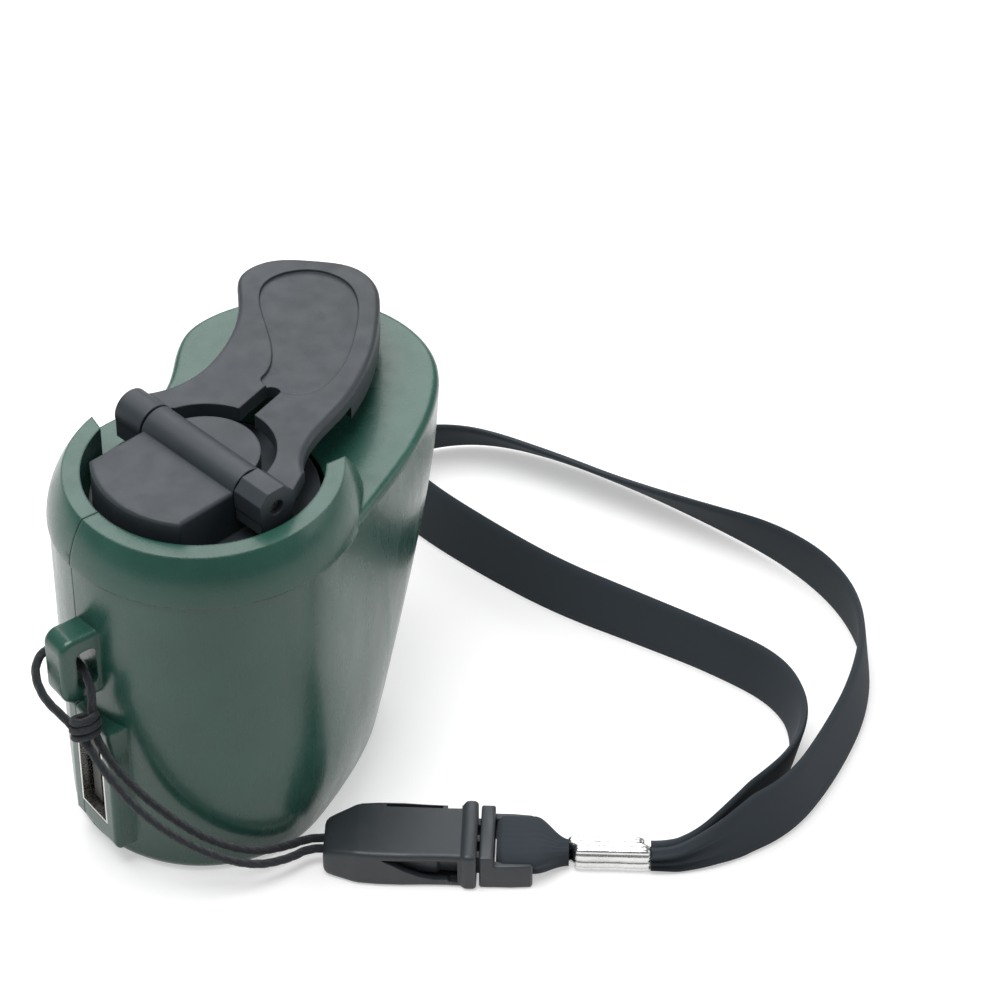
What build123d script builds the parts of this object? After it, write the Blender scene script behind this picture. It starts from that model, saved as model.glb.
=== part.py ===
from build123d import *
import os
from math import atan2, cos, degrees, hypot, pi, radians, sin, sqrt, tan

os.makedirs("parts", exist_ok=True)

# A pocket hand crank generator, in millimetres.
# +Z is the crank's axis, up from the flat base; the origin is on that axis, at the base.
# The rounded nose with the power socket and the strap lug faces -X, the lobe points to +X +Y.

# ---------------------------------------------------------------- driving dimensions
wall = 1.8                  # casing wall
running_gap = 0.05          # radial clearance of a shaft in its bush
press_gap = 0.02            # radial clearance of a pin in a part that it turns with
side_gap = 0.35             # clearance beside moving plates, ears and knuckles
parting_gap = 0.12          # seam between the two casing halves

# casing
nose_radius = 18.5
lobe_top = 44.5             # height of the lobe's flat top
lobe_angle = 29.7           # direction of the lobe from +X
lobe_reach_top = 24.5       # crank axis to lobe centre, at the top
lobe_reach_base = 12.3      # and at the base, where the back sweeps inwards
lobe_radius_top = 17.3
lobe_radius_base = 14.0
keel_ease = 1.15            # how late the back swells out on the way up
toe_in = 2.3                # the nose is drawn in this much at the base
toe_height = 16.0           # up to this height
flank_bulge = 2.2           # crown of the long side
waist_pinch = 1.3           # hollow of the short side
nose_angles = range(85, 306, 22)    # outline points round the nose, in degrees
lobe_angles = range(-48, 109, 26)   # and round the lobe
section_count = 6           # lofted spans from base to lobe top
base_round = 1.6            # rounded edge round the base
brow_round = 0.9            # soft edge round the lobe top

# collar and cup that the crank's drum sits in
collar_top = 49.0
collar_bottom = 43.0
collar_radius = 18.75       # widest, at its lower edge
collar_rim_radius = 16.6    # outer edge of the flat rim
collar_foot = 1.6           # width of its lower ledge
collar_belly = 0.75         # how far its side draws in by mid height
collar_belly_rise = 0.4
cup_overlap = 1.0           # what the cup's cut takes off the collar's bore
cup_radius = 14.4
cup_floor = 41.0
collar_open_start = -24.0   # the collar is open over the lobe, between these angles
collar_open_end = 104.0
collar_tip_slant = 14.0     # its two ends are cut this much further at the bore

# crank drum
drum_radius = 13.6
drum_gap = 0.5              # drum over cup floor
drum_base_top = 45.0
drum_round = 0.5            # soft edge of the drum's pad
crank_top = 51.0            # flush top of drum pad, half disc and handle plate
pad_radius = 13.2
boss_radius = 6.8
hinge_angle = -82.0         # direction of the hinge pin from +X
hinge_height = 50.4
knuckle_radius = 2.5
barrel_half = 8.1           # half length of the drum's knuckle
ear_end = 13.0              # outer end of the handle's ears
ear_drop = 3.0              # ear block below the pin
ear_facet = 1.3             # facets of the right ear
pin_radius = 0.9
pin_inset = 0.8             # pin end below the ear's face

# handle
plate_thickness = 2.0
plate_top = 51.4
fork_radius = 8.7           # inner arc of the handle's fork
plate_round = 0.7           # rounded top edge
rim_depth = 3.8             # stiffening rim under the handle, from its top face
rim_width = 1.5
rim_start_radius = 20.0     # the rim starts outside the collar
notch_width = 2.3
notch_start = 6.1           # notch in the fork's inner edge, along its own direction
notch_end = 14.6
notch_tilt = 20.0
panel_depth = 0.35          # shallow finger recess

# spindle and gears
spindle_radius = 2.5
spindle_top = 46.0
tooth_module = 0.8
fine_module = 0.6
pressure_angle = 25.0
addendum_share = 0.8
dedendum_share = 1.0
gear_backlash = 0.14        # tooth thickness taken off at the pitch circle
drive_teeth = 36
idler_teeth = 30
second_teeth = 32
pinion_teeth = 10
drive_face = 3.2            # face widths
idler_face = 2.6
second_face = 2.4
pinion_overhang = 0.4
level_gap = 0.6             # between gears one above the other
idler_direction = 29.7      # first idler seen from the spindle
second_direction = 226.5    # second idler seen from the first
rotor_direction = 50.8      # motor seen from the second idler
axle_radius = 1.0
axle_head = 0.3
axle_head_radius = 1.7
axle_head_gap = 0.06
bush_wall = 1.0
clip_thickness = 0.5
clip_width = 1.4
clip_gap_low = 0.3          # under the clip, to the gear
clip_gap_high = 0.6         # over it, to the upper plate
web_hole_reach = 0.58       # lightening holes of the drive gear, in pitch radii
web_hole_radius = 0.16

# carrier plates
plate_sheet = 1.4
plate_fit = 0.25            # plate edge to casing wall
carrier_height = 22.6       # underside of the lower carrier plate
shelf_width = 1.8
shelf_height = 2.0

# motor
motor_radius = 10.0
motor_bottom = 6.4
cap_thickness = 2.0
shaft_radius = 1.0
motor_boss_radius = 3.0
motor_shaft_inset = 1.0     # shaft's lower end inside the can
motor_round = 0.8
motor_screw_reach = 6.0     # its two screws, from its shaft
motor_screw_turn = 60.0     # seen from the direction to the second idler
motor_screw_depth = 1.4     # how deep they go into the can
cap_inset = 0.4             # end cap inside the can's radius
foot_radius = 3.5           # foot of the cap, over the casing's floor
foot_gap = 0.4

# power socket and circuit board
socket_height = 13.1
socket_width = 5.7
socket_depth = 14.0
socket_sheet = 0.3
socket_bottom = 6.2
socket_back = 0.3           # y of the socket's back face
socket_plug = 1.6           # moulded block that closes the socket's inner end
tongue_thickness = 1.8
tongue_centre = 1.9         # from the socket's back face
tongue_margin = 0.8         # above and below the tongue
tongue_setback = 1.2        # behind the socket's mouth
contact_rows = (-3.5, -1.2, 1.2, 3.5)
contact_width = 1.0
contact_sheet = 0.2
contact_setback = 2.2
pad_face = 19.6             # distance of the raised pad's face from the crank axis
pad_margin = 1.9
pad_low = 3.4
pad_high = 22.0
pad_root = 4.0              # how far the pad reaches into the nose
pad_round = 0.7
board_thickness = 1.6
board_offset = 0.1          # board behind the socket
board_left = -15.0
board_right = 2.4
board_low = 6.6
board_high = 20.0
capacitor_radius = 2.5
capacitor_length = 7.0
capacitor_round = 0.4
capacitor_at = (-10.6, 4.0)         # x, and height over the board's lower edge
diode_size = (3.4, 1.9, 2.0)
diode_x = -6.3
diode_first = 2.0
diode_step = 3.0
regulator_size = (5.0, 4.0, 1.6)
regulator_at = (-11.0, 4.0)         # x, and depth under the board's upper edge

# strap lug
lug_reach = 23.2
lug_width = 4.2
lug_low = 26.0
lug_high = 35.5
lug_bar = 2.0
lug_root = 2.0              # how far the lug reaches into the nose
lug_round = 1.8             # outer corners
lug_edge = 0.7              # soft edges
eye_round = 1.0             # corners of its eye

# fasteners
screw_shank = 0.95
screw_head = 1.9
screw_head_height = 1.4
boss_wall = 1.2
case_screws_at = [(-11.5, 27.5), (27.0, 34.6), (-3.0, 4.3)]     # x and z of each
case_seat = 4.0             # seat of a case screw, behind the parting face
case_pilot = 6.0            # pilot hole in the front half
case_shank = 8.5            # shank, from the seat
board_screw_inset = 2.0     # from the board's upper and lower edges
board_screw_side = 5.0      # from its right edge
board_screw_length = 5.5
small_screw_shank = 0.7
small_screw_head = 1.3
small_screw_height = 0.8

# lanyard
cord_diameter = 1.1
buckle_start = (1.8, -20.2)  # cord end of the buckle, on the table
buckle_angle = -38.1
buckle_thickness = 5.2
socket_length = 18.6        # buckle's female half
buckle_width = 9.6
buckle_nose_width = 6.5
buckle_wall = 0.9
taper_length = 5.0
rim_length = 1.6            # rim round the mouth
rim_swell = 0.4
rim_rise = 0.3
mouth_band = 2.0            # between the side windows and the rim
window_start = 6.0
cavity_start = 4.4
block_length = 6.4          # buckle's male half
block_step = 0.2            # male half lower and narrower than the female half
frame_wall = 1.0            # arms of the male half
base_wall = 1.6
bar_radius = 0.9
prong_thickness = 1.3
prong_root = 0.5            # prongs start this far inside the male half
barb_tip = 6.4              # from the buckle's cord end
barb_back = 9.5
guide_start = 8.0
guide_width = 1.2
tail_height = 3.6           # folded webbing
tail_ease = 0.5             # gathered end inside the ferrule's size
strap_width = 9.0
strap_thickness = 1.0
ferrule_start = 29.6        # from the buckle's cord end
ferrule_length = 10.0
ferrule_width = 3.0
ferrule_height = 3.2
ferrule_low = 0.2           # its underside over the table
cord_height = 2.4           # where it leaves the buckle
cord_half_gap = 0.9         # its two strands there, from the middle
cord_straight = 1.8
hitch_width = 4.2
hitch_depth = 2.8
hitch_length = 3.4
hitch_at = (-21.4, -5.5, 25.6)
ferrule_ridges = 4


# ---------------------------------------------------------------- helpers
def polar(radius, angle):
    return (radius * cos(radians(angle)), radius * sin(radians(angle)))


def shifted(point, radius, angle):
    return (point[0] + radius * cos(radians(angle)), point[1] + radius * sin(radians(angle)))


def smooth(t):
    return t * t * (3 - 2 * t)


def casing_outline(height, inset):
    """Points of the casing's closed outline at one height, drawn in by inset."""
    t = min(max(height / lobe_top, 0.0), 1.0)
    reach = lobe_reach_base + (lobe_reach_top - lobe_reach_base) * smooth(t ** keel_ease)
    swell = 1 - (1 - t) ** 3
    lobe_radius = lobe_radius_base + (lobe_radius_top - lobe_radius_base) * swell - inset
    toe = toe_in * max(0.0, 1 - height / toe_height) ** 2
    nose = nose_radius - toe - inset
    nose_centre = (-toe, 0.0)
    lobe_centre = polar(reach, lobe_angle)
    nose_points = [shifted(nose_centre, nose, a) for a in nose_angles]
    lobe_points = [shifted(lobe_centre, lobe_radius, a) for a in lobe_angles]
    flank = midpoint(nose_points[-1], lobe_points[0], flank_bulge * (0.5 + 0.5 * t) * 0.5)
    waist = midpoint(lobe_points[-1], nose_points[0], -waist_pinch * (0.3 + 0.7 * t))
    return nose_points + [flank] + lobe_points + [waist]


def midpoint(a, b, outward):
    """Middle of a to b, moved outwards, to the right of that direction."""
    run = hypot(b[0] - a[0], b[1] - a[1])
    return ((a[0] + b[0]) / 2 + outward * (b[1] - a[1]) / run,
            (a[1] + b[1]) / 2 - outward * (b[0] - a[0]) / run)


def gear_outline(teeth, module, phase):
    """Involute tooth outline, counter-clockwise, with one tooth centred at phase degrees."""
    pitch = module * teeth / 2
    base = pitch * cos(radians(pressure_angle))
    tip = pitch + addendum_share * module
    root = pitch - dedendum_share * module
    involute = tan(radians(pressure_angle)) - radians(pressure_angle)
    half_tooth = pi / (2 * teeth) - gear_backlash / (2 * pitch) + involute
    start = max(base, root)
    flank = []
    for step in range(5):
        radius = start + (tip - start) * step / 4
        roll = sqrt(max((radius / base) ** 2 - 1, 0.0))
        flank.append((radius, half_tooth - (roll - atan2(roll, 1))))
    side = [(root, flank[0][1])] + flank if root < start - 0.01 else flank
    outline = []
    for tooth in range(teeth):
        centre = radians(phase) + 2 * pi * tooth / teeth
        for radius, half in side:
            outline.append((radius * cos(centre - half), radius * sin(centre - half)))
        for radius, half in reversed(side):
            outline.append((radius * cos(centre + half), radius * sin(centre + half)))
    return outline


def motor_screw_place(turn):
    return shifted(rotor_place, motor_screw_reach, rotor_direction + motor_screw_turn + turn)


def fillet_radii(points):
    """The largest tangent arc that each corner's two runs allow."""
    radii = []
    for before, corner, after in zip(points, points[1:], points[2:]):
        first = Vector(*corner) - Vector(*before)
        second = Vector(*after) - Vector(*corner)
        half_turn = radians(first.get_angle(second)) / 2
        radii.append(0.45 * min(first.length, second.length) / tan(half_turn))
    return radii


def finish(part, name):
    part.label = name
    export_step(part, "parts/" + name + ".step")


hinge = polar(1, hinge_angle)                  # along the pin
fold = polar(1, hinge_angle + 90)              # from the pin towards the folded handle
hinge_plane = Plane(origin=(0, 0, hinge_height), x_dir=(fold[0], fold[1], 0),
                    z_dir=(hinge[0], hinge[1], 0))
deck_bottom = cup_floor - wall
inner_top = lobe_top - wall
floor_level = wall + foot_gap

# ---------------------------------------------------------------- gear positions and levels
drive_pitch = tooth_module * drive_teeth / 2
idler_pitch = tooth_module * idler_teeth / 2
coarse_pinion_pitch = tooth_module * pinion_teeth / 2
second_pitch = fine_module * second_teeth / 2
fine_pinion_pitch = fine_module * pinion_teeth / 2
idler_place = polar(drive_pitch + coarse_pinion_pitch, idler_direction)
second_place = shifted(idler_place, idler_pitch + coarse_pinion_pitch, second_direction)
rotor_place = shifted(second_place, second_pitch + fine_pinion_pitch, rotor_direction)

top_plate_low = deck_bottom - plate_sheet
drive_high = top_plate_low - clip_gap_high - clip_thickness - clip_gap_low
drive_low = drive_high - drive_face
idler_high = drive_low - level_gap - pinion_overhang
idler_low = idler_high - idler_face
second_high = idler_low - level_gap - pinion_overhang
second_low = second_high - second_face
carrier_top = carrier_height + plate_sheet
print("gears", idler_place, second_place, rotor_place, "levels", drive_low, idler_low, second_low)

# ---------------------------------------------------------------- casing
lug_depth = lug_reach - nose_radius + lug_root
lug_middle = (-lug_reach + lug_depth / 2, (lug_low + lug_high) / 2)
with BuildPart() as block:
    for station in range(section_count + 1):
        level = lobe_top * station / section_count
        with BuildSketch(Plane.XY.offset(level)):
            with BuildLine():
                Spline(*casing_outline(level, 0), periodic=True)
            make_face()
    loft()
    fillet(block.edges().group_by(Axis.Z)[0], base_round)
    fillet(block.edges().group_by(Axis.Z)[-1], brow_round)
    # raised pad round the power socket
    with BuildSketch(Plane.XY.offset(pad_low)):
        with Locations((-(pad_face + nose_radius - pad_root) / 2, socket_back - socket_width / 2)):
            Rectangle(pad_face - nose_radius + pad_root, socket_width + 2 * pad_margin)
    extrude(amount=pad_high - pad_low)
    fillet(block.faces().sort_by(Axis.X)[0].edges(), pad_round)
    # strap lug, a rounded eye
    with BuildSketch(Plane.XZ):
        with Locations(lug_middle):
            Rectangle(lug_depth, lug_high - lug_low)
    extrude(amount=lug_width)
    fillet(block.edges().filter_by(Axis.Y).group_by(Axis.X)[0], lug_round)
    fillet(block.faces().sort_by(Axis.X)[0].edges(), lug_edge)
    with BuildSketch(Plane.XZ):
        with Locations(lug_middle):
            RectangleRounded(lug_depth - 2 * lug_bar, lug_high - lug_low - 2 * lug_bar, eye_round)
    extrude(amount=lug_width, mode=Mode.SUBTRACT)

with BuildPart() as collar:
    with BuildSketch(Plane.XZ):
        with BuildLine():
            Polyline((cup_radius - cup_overlap, cup_floor - wall),
                     (collar_radius - collar_foot, cup_floor - wall),
                     (collar_radius - collar_foot, collar_bottom), (collar_radius, collar_bottom))
            ThreePointArc((collar_radius, collar_bottom),
                          (collar_radius - collar_belly,
                           (collar_bottom + collar_top) / 2 + collar_belly_rise),
                          (collar_rim_radius, collar_top))
            Polyline((collar_rim_radius, collar_top), (cup_radius - cup_overlap, collar_top),
                     (cup_radius - cup_overlap, cup_floor - wall))
        make_face()
    revolve(axis=Axis.Z)
    with BuildSketch(Plane.XY.offset(lobe_top)):
        with BuildLine():
            Polyline(polar(cup_radius - 1.2 * cup_overlap, collar_open_start - collar_tip_slant),
                     polar(collar_radius + 2, collar_open_start),
                     polar(collar_radius * 2, (3 * collar_open_start + collar_open_end) / 4),
                     polar(collar_radius * 2, (collar_open_start + 3 * collar_open_end) / 4),
                     polar(collar_radius + 2, collar_open_end),
                     polar(cup_radius - 1.2 * cup_overlap, collar_open_end + collar_tip_slant), close=True)
        make_face()
    extrude(amount=collar_top, mode=Mode.SUBTRACT)

board_screw_x = board_right - board_screw_side
board_screw_heights = (board_low + board_screw_inset, board_high - board_screw_inset)


def parting_y(x):
    return max(x, 0) * tan(radians(lobe_angle))


with BuildPart() as screw_posts:
    for x, z in case_screws_at:
        with BuildSketch(Plane.XZ.offset(nose_radius + 4)):
            with Locations((x, z)):
                Circle(screw_shank + boss_wall)
        extrude(amount=-(2 * nose_radius + 30))
    for z in board_screw_heights:
        with BuildSketch(Plane.XZ.offset(-(socket_back + board_offset + board_thickness))):
            with Locations((board_screw_x, z)):
                Circle(small_screw_shank + boss_wall)
        extrude(amount=-nose_radius)
    add(block.part, mode=Mode.INTERSECT)

with BuildPart() as shelf:
    with BuildSketch(Plane.XY.offset(carrier_height - shelf_height)):
        with BuildLine():
            Spline(*casing_outline(carrier_height - shelf_height, wall - 0.5), periodic=True)
        make_face()
        with BuildLine():
            Spline(*casing_outline(carrier_height - shelf_height, wall + shelf_width),
                   periodic=True)
        make_face(mode=Mode.SUBTRACT)
    extrude(amount=shelf_height)
    with BuildSketch(Plane.XY.offset(carrier_height - shelf_height)):
        with Locations(rotor_place):
            Circle(motor_radius + side_gap)
    extrude(amount=shelf_height, mode=Mode.SUBTRACT)

with BuildPart() as casing:
    add(block.part)
    for station in range(section_count + 1):
        level = floor_level + (inner_top - floor_level) * station / section_count
        with BuildSketch(Plane.XY.offset(level)):
            with BuildLine():
                Spline(*casing_outline(level, wall), periodic=True)
            make_face()
    loft(mode=Mode.SUBTRACT)
    # cup wall and deck under the crank drum
    with BuildSketch(Plane.XY.offset(deck_bottom)):
        Circle(cup_radius + wall + 0.7)
    extrude(amount=lobe_top - deck_bottom)
    add(collar.part)
    add(shelf.part)
    add(screw_posts.part)
    with BuildSketch(Plane.XY.offset(cup_floor)):
        Circle(cup_radius)
    extrude(amount=collar_top, mode=Mode.SUBTRACT)
    with BuildSketch(Plane.XY.offset(deck_bottom)):
        Circle(spindle_radius + bush_wall)
    extrude(amount=wall, mode=Mode.SUBTRACT)
    # power socket opening
    with BuildSketch(Plane.YZ.offset(-pad_face - 1)):
        with Locations((socket_back - socket_width / 2, socket_bottom + socket_height / 2)):
            Rectangle(socket_width + 2 * press_gap, socket_height + 2 * press_gap)
    extrude(amount=9, mode=Mode.SUBTRACT)
    # screw holes: counterbore and clearance in the rear half, pilot in the front half
    for x, z in case_screws_at:
        seat = parting_y(x) + case_seat
        with BuildSketch(Plane.XZ.offset(-seat)):
            with Locations((x, z)):
                Circle(screw_head + 0.2)
        extrude(amount=-40, mode=Mode.SUBTRACT)
        with BuildSketch(Plane.XZ.offset(-(parting_y(x) - case_pilot))):
            with Locations((x, z)):
                Circle(screw_shank + press_gap)
        extrude(amount=-(case_seat + case_pilot), mode=Mode.SUBTRACT)
    for z in board_screw_heights:
        with BuildSketch(Plane.XZ.offset(-socket_back)):
            with Locations((board_screw_x, z)):
                Circle(small_screw_shank + press_gap)
        extrude(amount=-(board_screw_length + 0.5), mode=Mode.SUBTRACT)


def half_region(side):
    """Plan polygon of one casing half; side is -1 for the front, +1 for the rear."""
    gap = side * parting_gap / 2
    far = 70
    edge = [(-far, gap), (-gap * tan(radians(lobe_angle / 2)), gap),
            (far * cos(radians(lobe_angle)) - gap * sin(radians(lobe_angle)),
             far * sin(radians(lobe_angle)) + gap * cos(radians(lobe_angle)))]
    return edge + [(far, side * far), (-far, side * far)]


with BuildPart() as front_shell:
    add(casing.part)
    with BuildSketch():
        with BuildLine():
            Polyline(*half_region(-1), close=True)
        make_face()
    extrude(amount=collar_top + 1, mode=Mode.INTERSECT)
finish(front_shell.part, "front_shell")

with BuildPart() as rear_shell:
    add(casing.part)
    with BuildSketch():
        with BuildLine():
            Polyline(*half_region(1), close=True)
        make_face()
    extrude(amount=collar_top + 1, mode=Mode.INTERSECT)
finish(rear_shell.part, "rear_shell")

with BuildPart() as case_screws:
    for x, z in case_screws_at:
        seat = parting_y(x) + case_seat
        with BuildSketch(Plane.XZ.offset(-seat)):
            with Locations((x, z)):
                Circle(screw_head)
        extrude(amount=-screw_head_height)
        with BuildSketch(Plane.XZ.offset(-seat)):
            with Locations((x, z)):
                Circle(screw_shank)
        extrude(amount=case_shank)
finish(case_screws.part, "case_screws")

# ---------------------------------------------------------------- crank drum, spindle and handle
with BuildPart() as crank_drum:
    with BuildSketch(Plane.XY.offset(cup_floor + drum_gap)):
        Circle(drum_radius)
    extrude(amount=drum_base_top - cup_floor - drum_gap)
    # front pad, a clipped half disc
    with BuildSketch(Plane.XY.offset(drum_base_top)):
        Circle(pad_radius)
        with Locations(Location((fold[0] * -pad_radius, fold[1] * -pad_radius, 0),
                                (0, 0, hinge_angle + 90))):
            Rectangle(2 * (pad_radius - 1), 2 * barrel_half, mode=Mode.INTERSECT)
    extrude(amount=crank_top - drum_base_top)
    fillet(crank_drum.edges().group_by(Axis.Z)[-1], drum_round)
    # rear half disc and the web under the knuckle
    with BuildSketch(Plane.XY.offset(drum_base_top)):
        Circle(boss_radius)
        with Locations(Location((fold[0] * boss_radius, fold[1] * boss_radius, 0),
                                (0, 0, hinge_angle + 90))):
            Rectangle(2 * boss_radius, 2 * barrel_half, mode=Mode.INTERSECT)
    extrude(amount=crank_top - drum_base_top)
    with BuildSketch(Plane.XY.offset(drum_base_top)):
        with Locations(Location((0, 0, 0), (0, 0, hinge_angle + 90))):
            Rectangle(2 * knuckle_radius, 2 * barrel_half)
    extrude(amount=hinge_height - drum_base_top)
    with BuildSketch(hinge_plane.offset(-barrel_half)):
        Circle(knuckle_radius)
    extrude(amount=2 * barrel_half)
    with BuildSketch(hinge_plane.offset(-barrel_half)):
        Circle(pin_radius + press_gap)
    extrude(amount=2 * barrel_half, mode=Mode.SUBTRACT)
    with BuildSketch(Plane.XY.offset(cup_floor)):
        Circle(spindle_radius + press_gap)
    extrude(amount=spindle_top + press_gap - cup_floor, mode=Mode.SUBTRACT)
finish(crank_drum.part, "crank_drum")

with BuildPart() as hinge_pin:
    with BuildSketch(hinge_plane.offset(-(ear_end - pin_inset))):
        Circle(pin_radius)
    extrude(amount=2 * (ear_end - pin_inset))
finish(hinge_pin.part, "hinge_pin")

# plan of the folded handle: left edge, rounded tip, right edge back to the other ear
ear_back = 2.4
left_ear = (-hinge[0] * ear_end + fold[0] * ear_back, -hinge[1] * ear_end + fold[1] * ear_back)
right_ear = (hinge[0] * ear_end + fold[0] * ear_back, hinge[1] * ear_end + fold[1] * ear_back)
handle_edge = [left_ear, (8.1, 13.0), (12.8, 15.4), (16.8, 18.7), (20.0, 23.0), (22.6, 26.4),
               (26.6, 26.9), (31.6, 23.6), (34.9, 19.4), (35.0, 15.0), (32.6, 10.7), (27.6, 4.6),
               (23.0, 0.6), (18.0, -2.5), (13.4, -4.6), (10.2, -6.6), (7.6, -10.0)]


def inset_edge(points, distance):
    """The points of a clockwise edge, moved to its right by distance."""
    moved = []
    for index, (x, y) in enumerate(points):
        before = points[max(index - 1, 0)]
        after = points[min(index + 1, len(points) - 1)]
        run = hypot(after[0] - before[0], after[1] - before[1])
        moved.append((x + distance * (after[1] - before[1]) / run,
                      y - distance * (after[0] - before[0]) / run))
    return moved


notch_at = polar((notch_start + notch_end) / 2, notch_tilt)
ear_start = barrel_half + side_gap
with BuildPart() as crank_handle:
    with BuildSketch(Plane.XY.offset(plate_top - rim_depth)):
        with BuildLine():
            Spline(*handle_edge)
            Polyline(handle_edge[-1], right_ear, left_ear)
        make_face()
    extrude(amount=rim_depth)
    fillet(crank_handle.edges().group_by(Axis.Z)[-1].filter_by(GeomType.BSPLINE), plate_round)
    # underside: clear of the collar, and hollow inside the rim
    with BuildSketch(Plane.XY.offset(plate_top - rim_depth)):
        Circle(rim_start_radius)
        with BuildLine():
            Spline(*inset_edge(handle_edge[2:-3], rim_width))
            Line(inset_edge(handle_edge[2:-3], rim_width)[-1],
                 inset_edge(handle_edge[2:-3], rim_width)[0])
        make_face()
    extrude(amount=rim_depth - plate_thickness, mode=Mode.SUBTRACT)
    with BuildSketch(Plane.XY.offset(plate_top - plate_thickness)):
        Circle(fork_radius)
        with Locations(Location((notch_at[0], notch_at[1], 0), (0, 0, notch_tilt))):
            SlotOverall(notch_end - notch_start, notch_width)
    extrude(amount=plate_thickness, mode=Mode.SUBTRACT)
    # finger recess in the top face
    with BuildSketch(Plane.XY.offset(plate_top - panel_depth)):
        with BuildLine():
            Spline((13.4, 7.6), (18.8, 14.6), (25.0, 23.4), (30.0, 22.0), (32.2, 17.6),
                   (27.4, 8.4), (20.6, 2.6), (14.6, 2.2), periodic=True)
        make_face()
    extrude(amount=2, mode=Mode.SUBTRACT)
    # ears on the pin: a round one on the left, a faceted one on the right
    with BuildSketch(hinge_plane.offset(-ear_end)):
        Circle(knuckle_radius)
        with Locations((0, -ear_drop / 2)):
            Rectangle(2 * ear_back, ear_drop)
    extrude(amount=ear_end - ear_start)
    with BuildSketch(hinge_plane.offset(ear_start)) as faceted_ear:
        Rectangle(2 * knuckle_radius, 2 * knuckle_radius)
        chamfer(faceted_ear.vertices(), ear_facet)
        with Locations((0, -ear_drop / 2)):
            Rectangle(2 * ear_back, ear_drop)
    extrude(amount=ear_end - ear_start)
    with BuildSketch(hinge_plane.offset(-ear_end)):
        Circle(pin_radius + running_gap)
    extrude(amount=2 * ear_end, mode=Mode.SUBTRACT)
    # room for the drum's knuckle between the ears
    with BuildSketch(hinge_plane.offset(-ear_start)):
        Circle(knuckle_radius + side_gap)
    extrude(amount=2 * ear_start, mode=Mode.SUBTRACT)
finish(crank_handle.part, "crank_handle")

with BuildPart() as drive_spindle:
    with BuildSketch(Plane.XY.offset(drive_low)):
        Circle(spindle_radius)
    extrude(amount=spindle_top - drive_low)
finish(drive_spindle.part, "drive_spindle")

with BuildPart() as spindle_clip:
    with BuildSketch(Plane.XY.offset(drive_high + clip_gap_low)):
        Circle(spindle_radius + clip_width)
        Circle(spindle_radius + press_gap, mode=Mode.SUBTRACT)
    extrude(amount=clip_thickness)
finish(spindle_clip.part, "spindle_clip")


# ---------------------------------------------------------------- gears
def facing(place_a, place_b):
    return degrees(atan2(place_b[1] - place_a[1], place_b[0] - place_a[0]))


drive_phase = facing((0, 0), idler_place)
idler_pinion_phase = drive_phase + 180 + 180 / pinion_teeth
idler_phase = facing(idler_place, second_place)
second_pinion_phase = idler_phase + 180 + 180 / pinion_teeth
second_phase = facing(second_place, rotor_place)
rotor_pinion_phase = second_phase + 180 + 180 / pinion_teeth

with BuildPart() as drive_gear:
    with BuildSketch(Plane.XY.offset(drive_low)):
        with BuildLine():
            Polyline(*gear_outline(drive_teeth, tooth_module, drive_phase), close=True)
        make_face()
        Circle(spindle_radius + press_gap, mode=Mode.SUBTRACT)
        with PolarLocations(drive_pitch * web_hole_reach, 6):
            Circle(drive_pitch * web_hole_radius, mode=Mode.SUBTRACT)
    extrude(amount=drive_face)
finish(drive_gear.part, "drive_gear")


def idler(place, low, face, teeth, module, phase, pinion_high, pinion_phase):
    """A gear with the small pinion of the stage before it on top."""
    with BuildPart(Plane(origin=(place[0], place[1], 0))) as wheel:
        with BuildSketch(Plane(origin=(place[0], place[1], low))):
            with BuildLine():
                Polyline(*gear_outline(teeth, module, phase), close=True)
            make_face()
        extrude(amount=face)
        with BuildSketch(Plane(origin=(place[0], place[1], low + face))):
            with BuildLine():
                Polyline(*gear_outline(pinion_teeth, tooth_module, pinion_phase), close=True)
            make_face()
        extrude(amount=pinion_high - low - face)
        with BuildSketch(Plane(origin=(place[0], place[1], low))):
            Circle(axle_radius + running_gap)
        extrude(amount=pinion_high - low, mode=Mode.SUBTRACT)
    return wheel.part


finish(idler(idler_place, idler_low, idler_face, idler_teeth, tooth_module, idler_phase,
             drive_high + pinion_overhang, idler_pinion_phase), "first_idler_gear")
finish(idler(second_place, second_low, second_face, second_teeth, fine_module, second_phase,
             idler_high + pinion_overhang, second_pinion_phase), "second_idler_gear")

with BuildPart() as rotor_pinion:
    with BuildSketch(Plane(origin=(rotor_place[0], rotor_place[1], second_low - pinion_overhang))):
        with BuildLine():
            Polyline(*gear_outline(pinion_teeth, fine_module, rotor_pinion_phase), close=True)
        make_face()
        Circle(shaft_radius + press_gap, mode=Mode.SUBTRACT)
    extrude(amount=second_face + 2 * pinion_overhang)
finish(rotor_pinion.part, "rotor_pinion")

with BuildPart() as rotor_shaft:
    with BuildSketch(Plane(origin=(rotor_place[0], rotor_place[1], motor_bottom + motor_shaft_inset))):
        Circle(shaft_radius)
    extrude(amount=second_high + pinion_overhang - motor_bottom - motor_shaft_inset)
finish(rotor_shaft.part, "rotor_shaft")

# the first idler's axle hangs from the upper plate with a head under the gear,
# the second idler's stands on the lower plate
with BuildPart() as idler_axles:
    with BuildSketch(Plane(origin=(idler_place[0], idler_place[1], idler_low - axle_head_gap))):
        Circle(axle_radius)
    extrude(amount=deck_bottom - idler_low + axle_head_gap)
    with BuildSketch(Plane(origin=(idler_place[0], idler_place[1], idler_low - axle_head_gap))):
        Circle(axle_head_radius)
    extrude(amount=-axle_head)
    with BuildSketch(Plane(origin=(second_place[0], second_place[1], carrier_height))):
        Circle(axle_radius)
    extrude(amount=drive_low - side_gap - carrier_height)
finish(idler_axles.part, "idler_axles")

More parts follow.
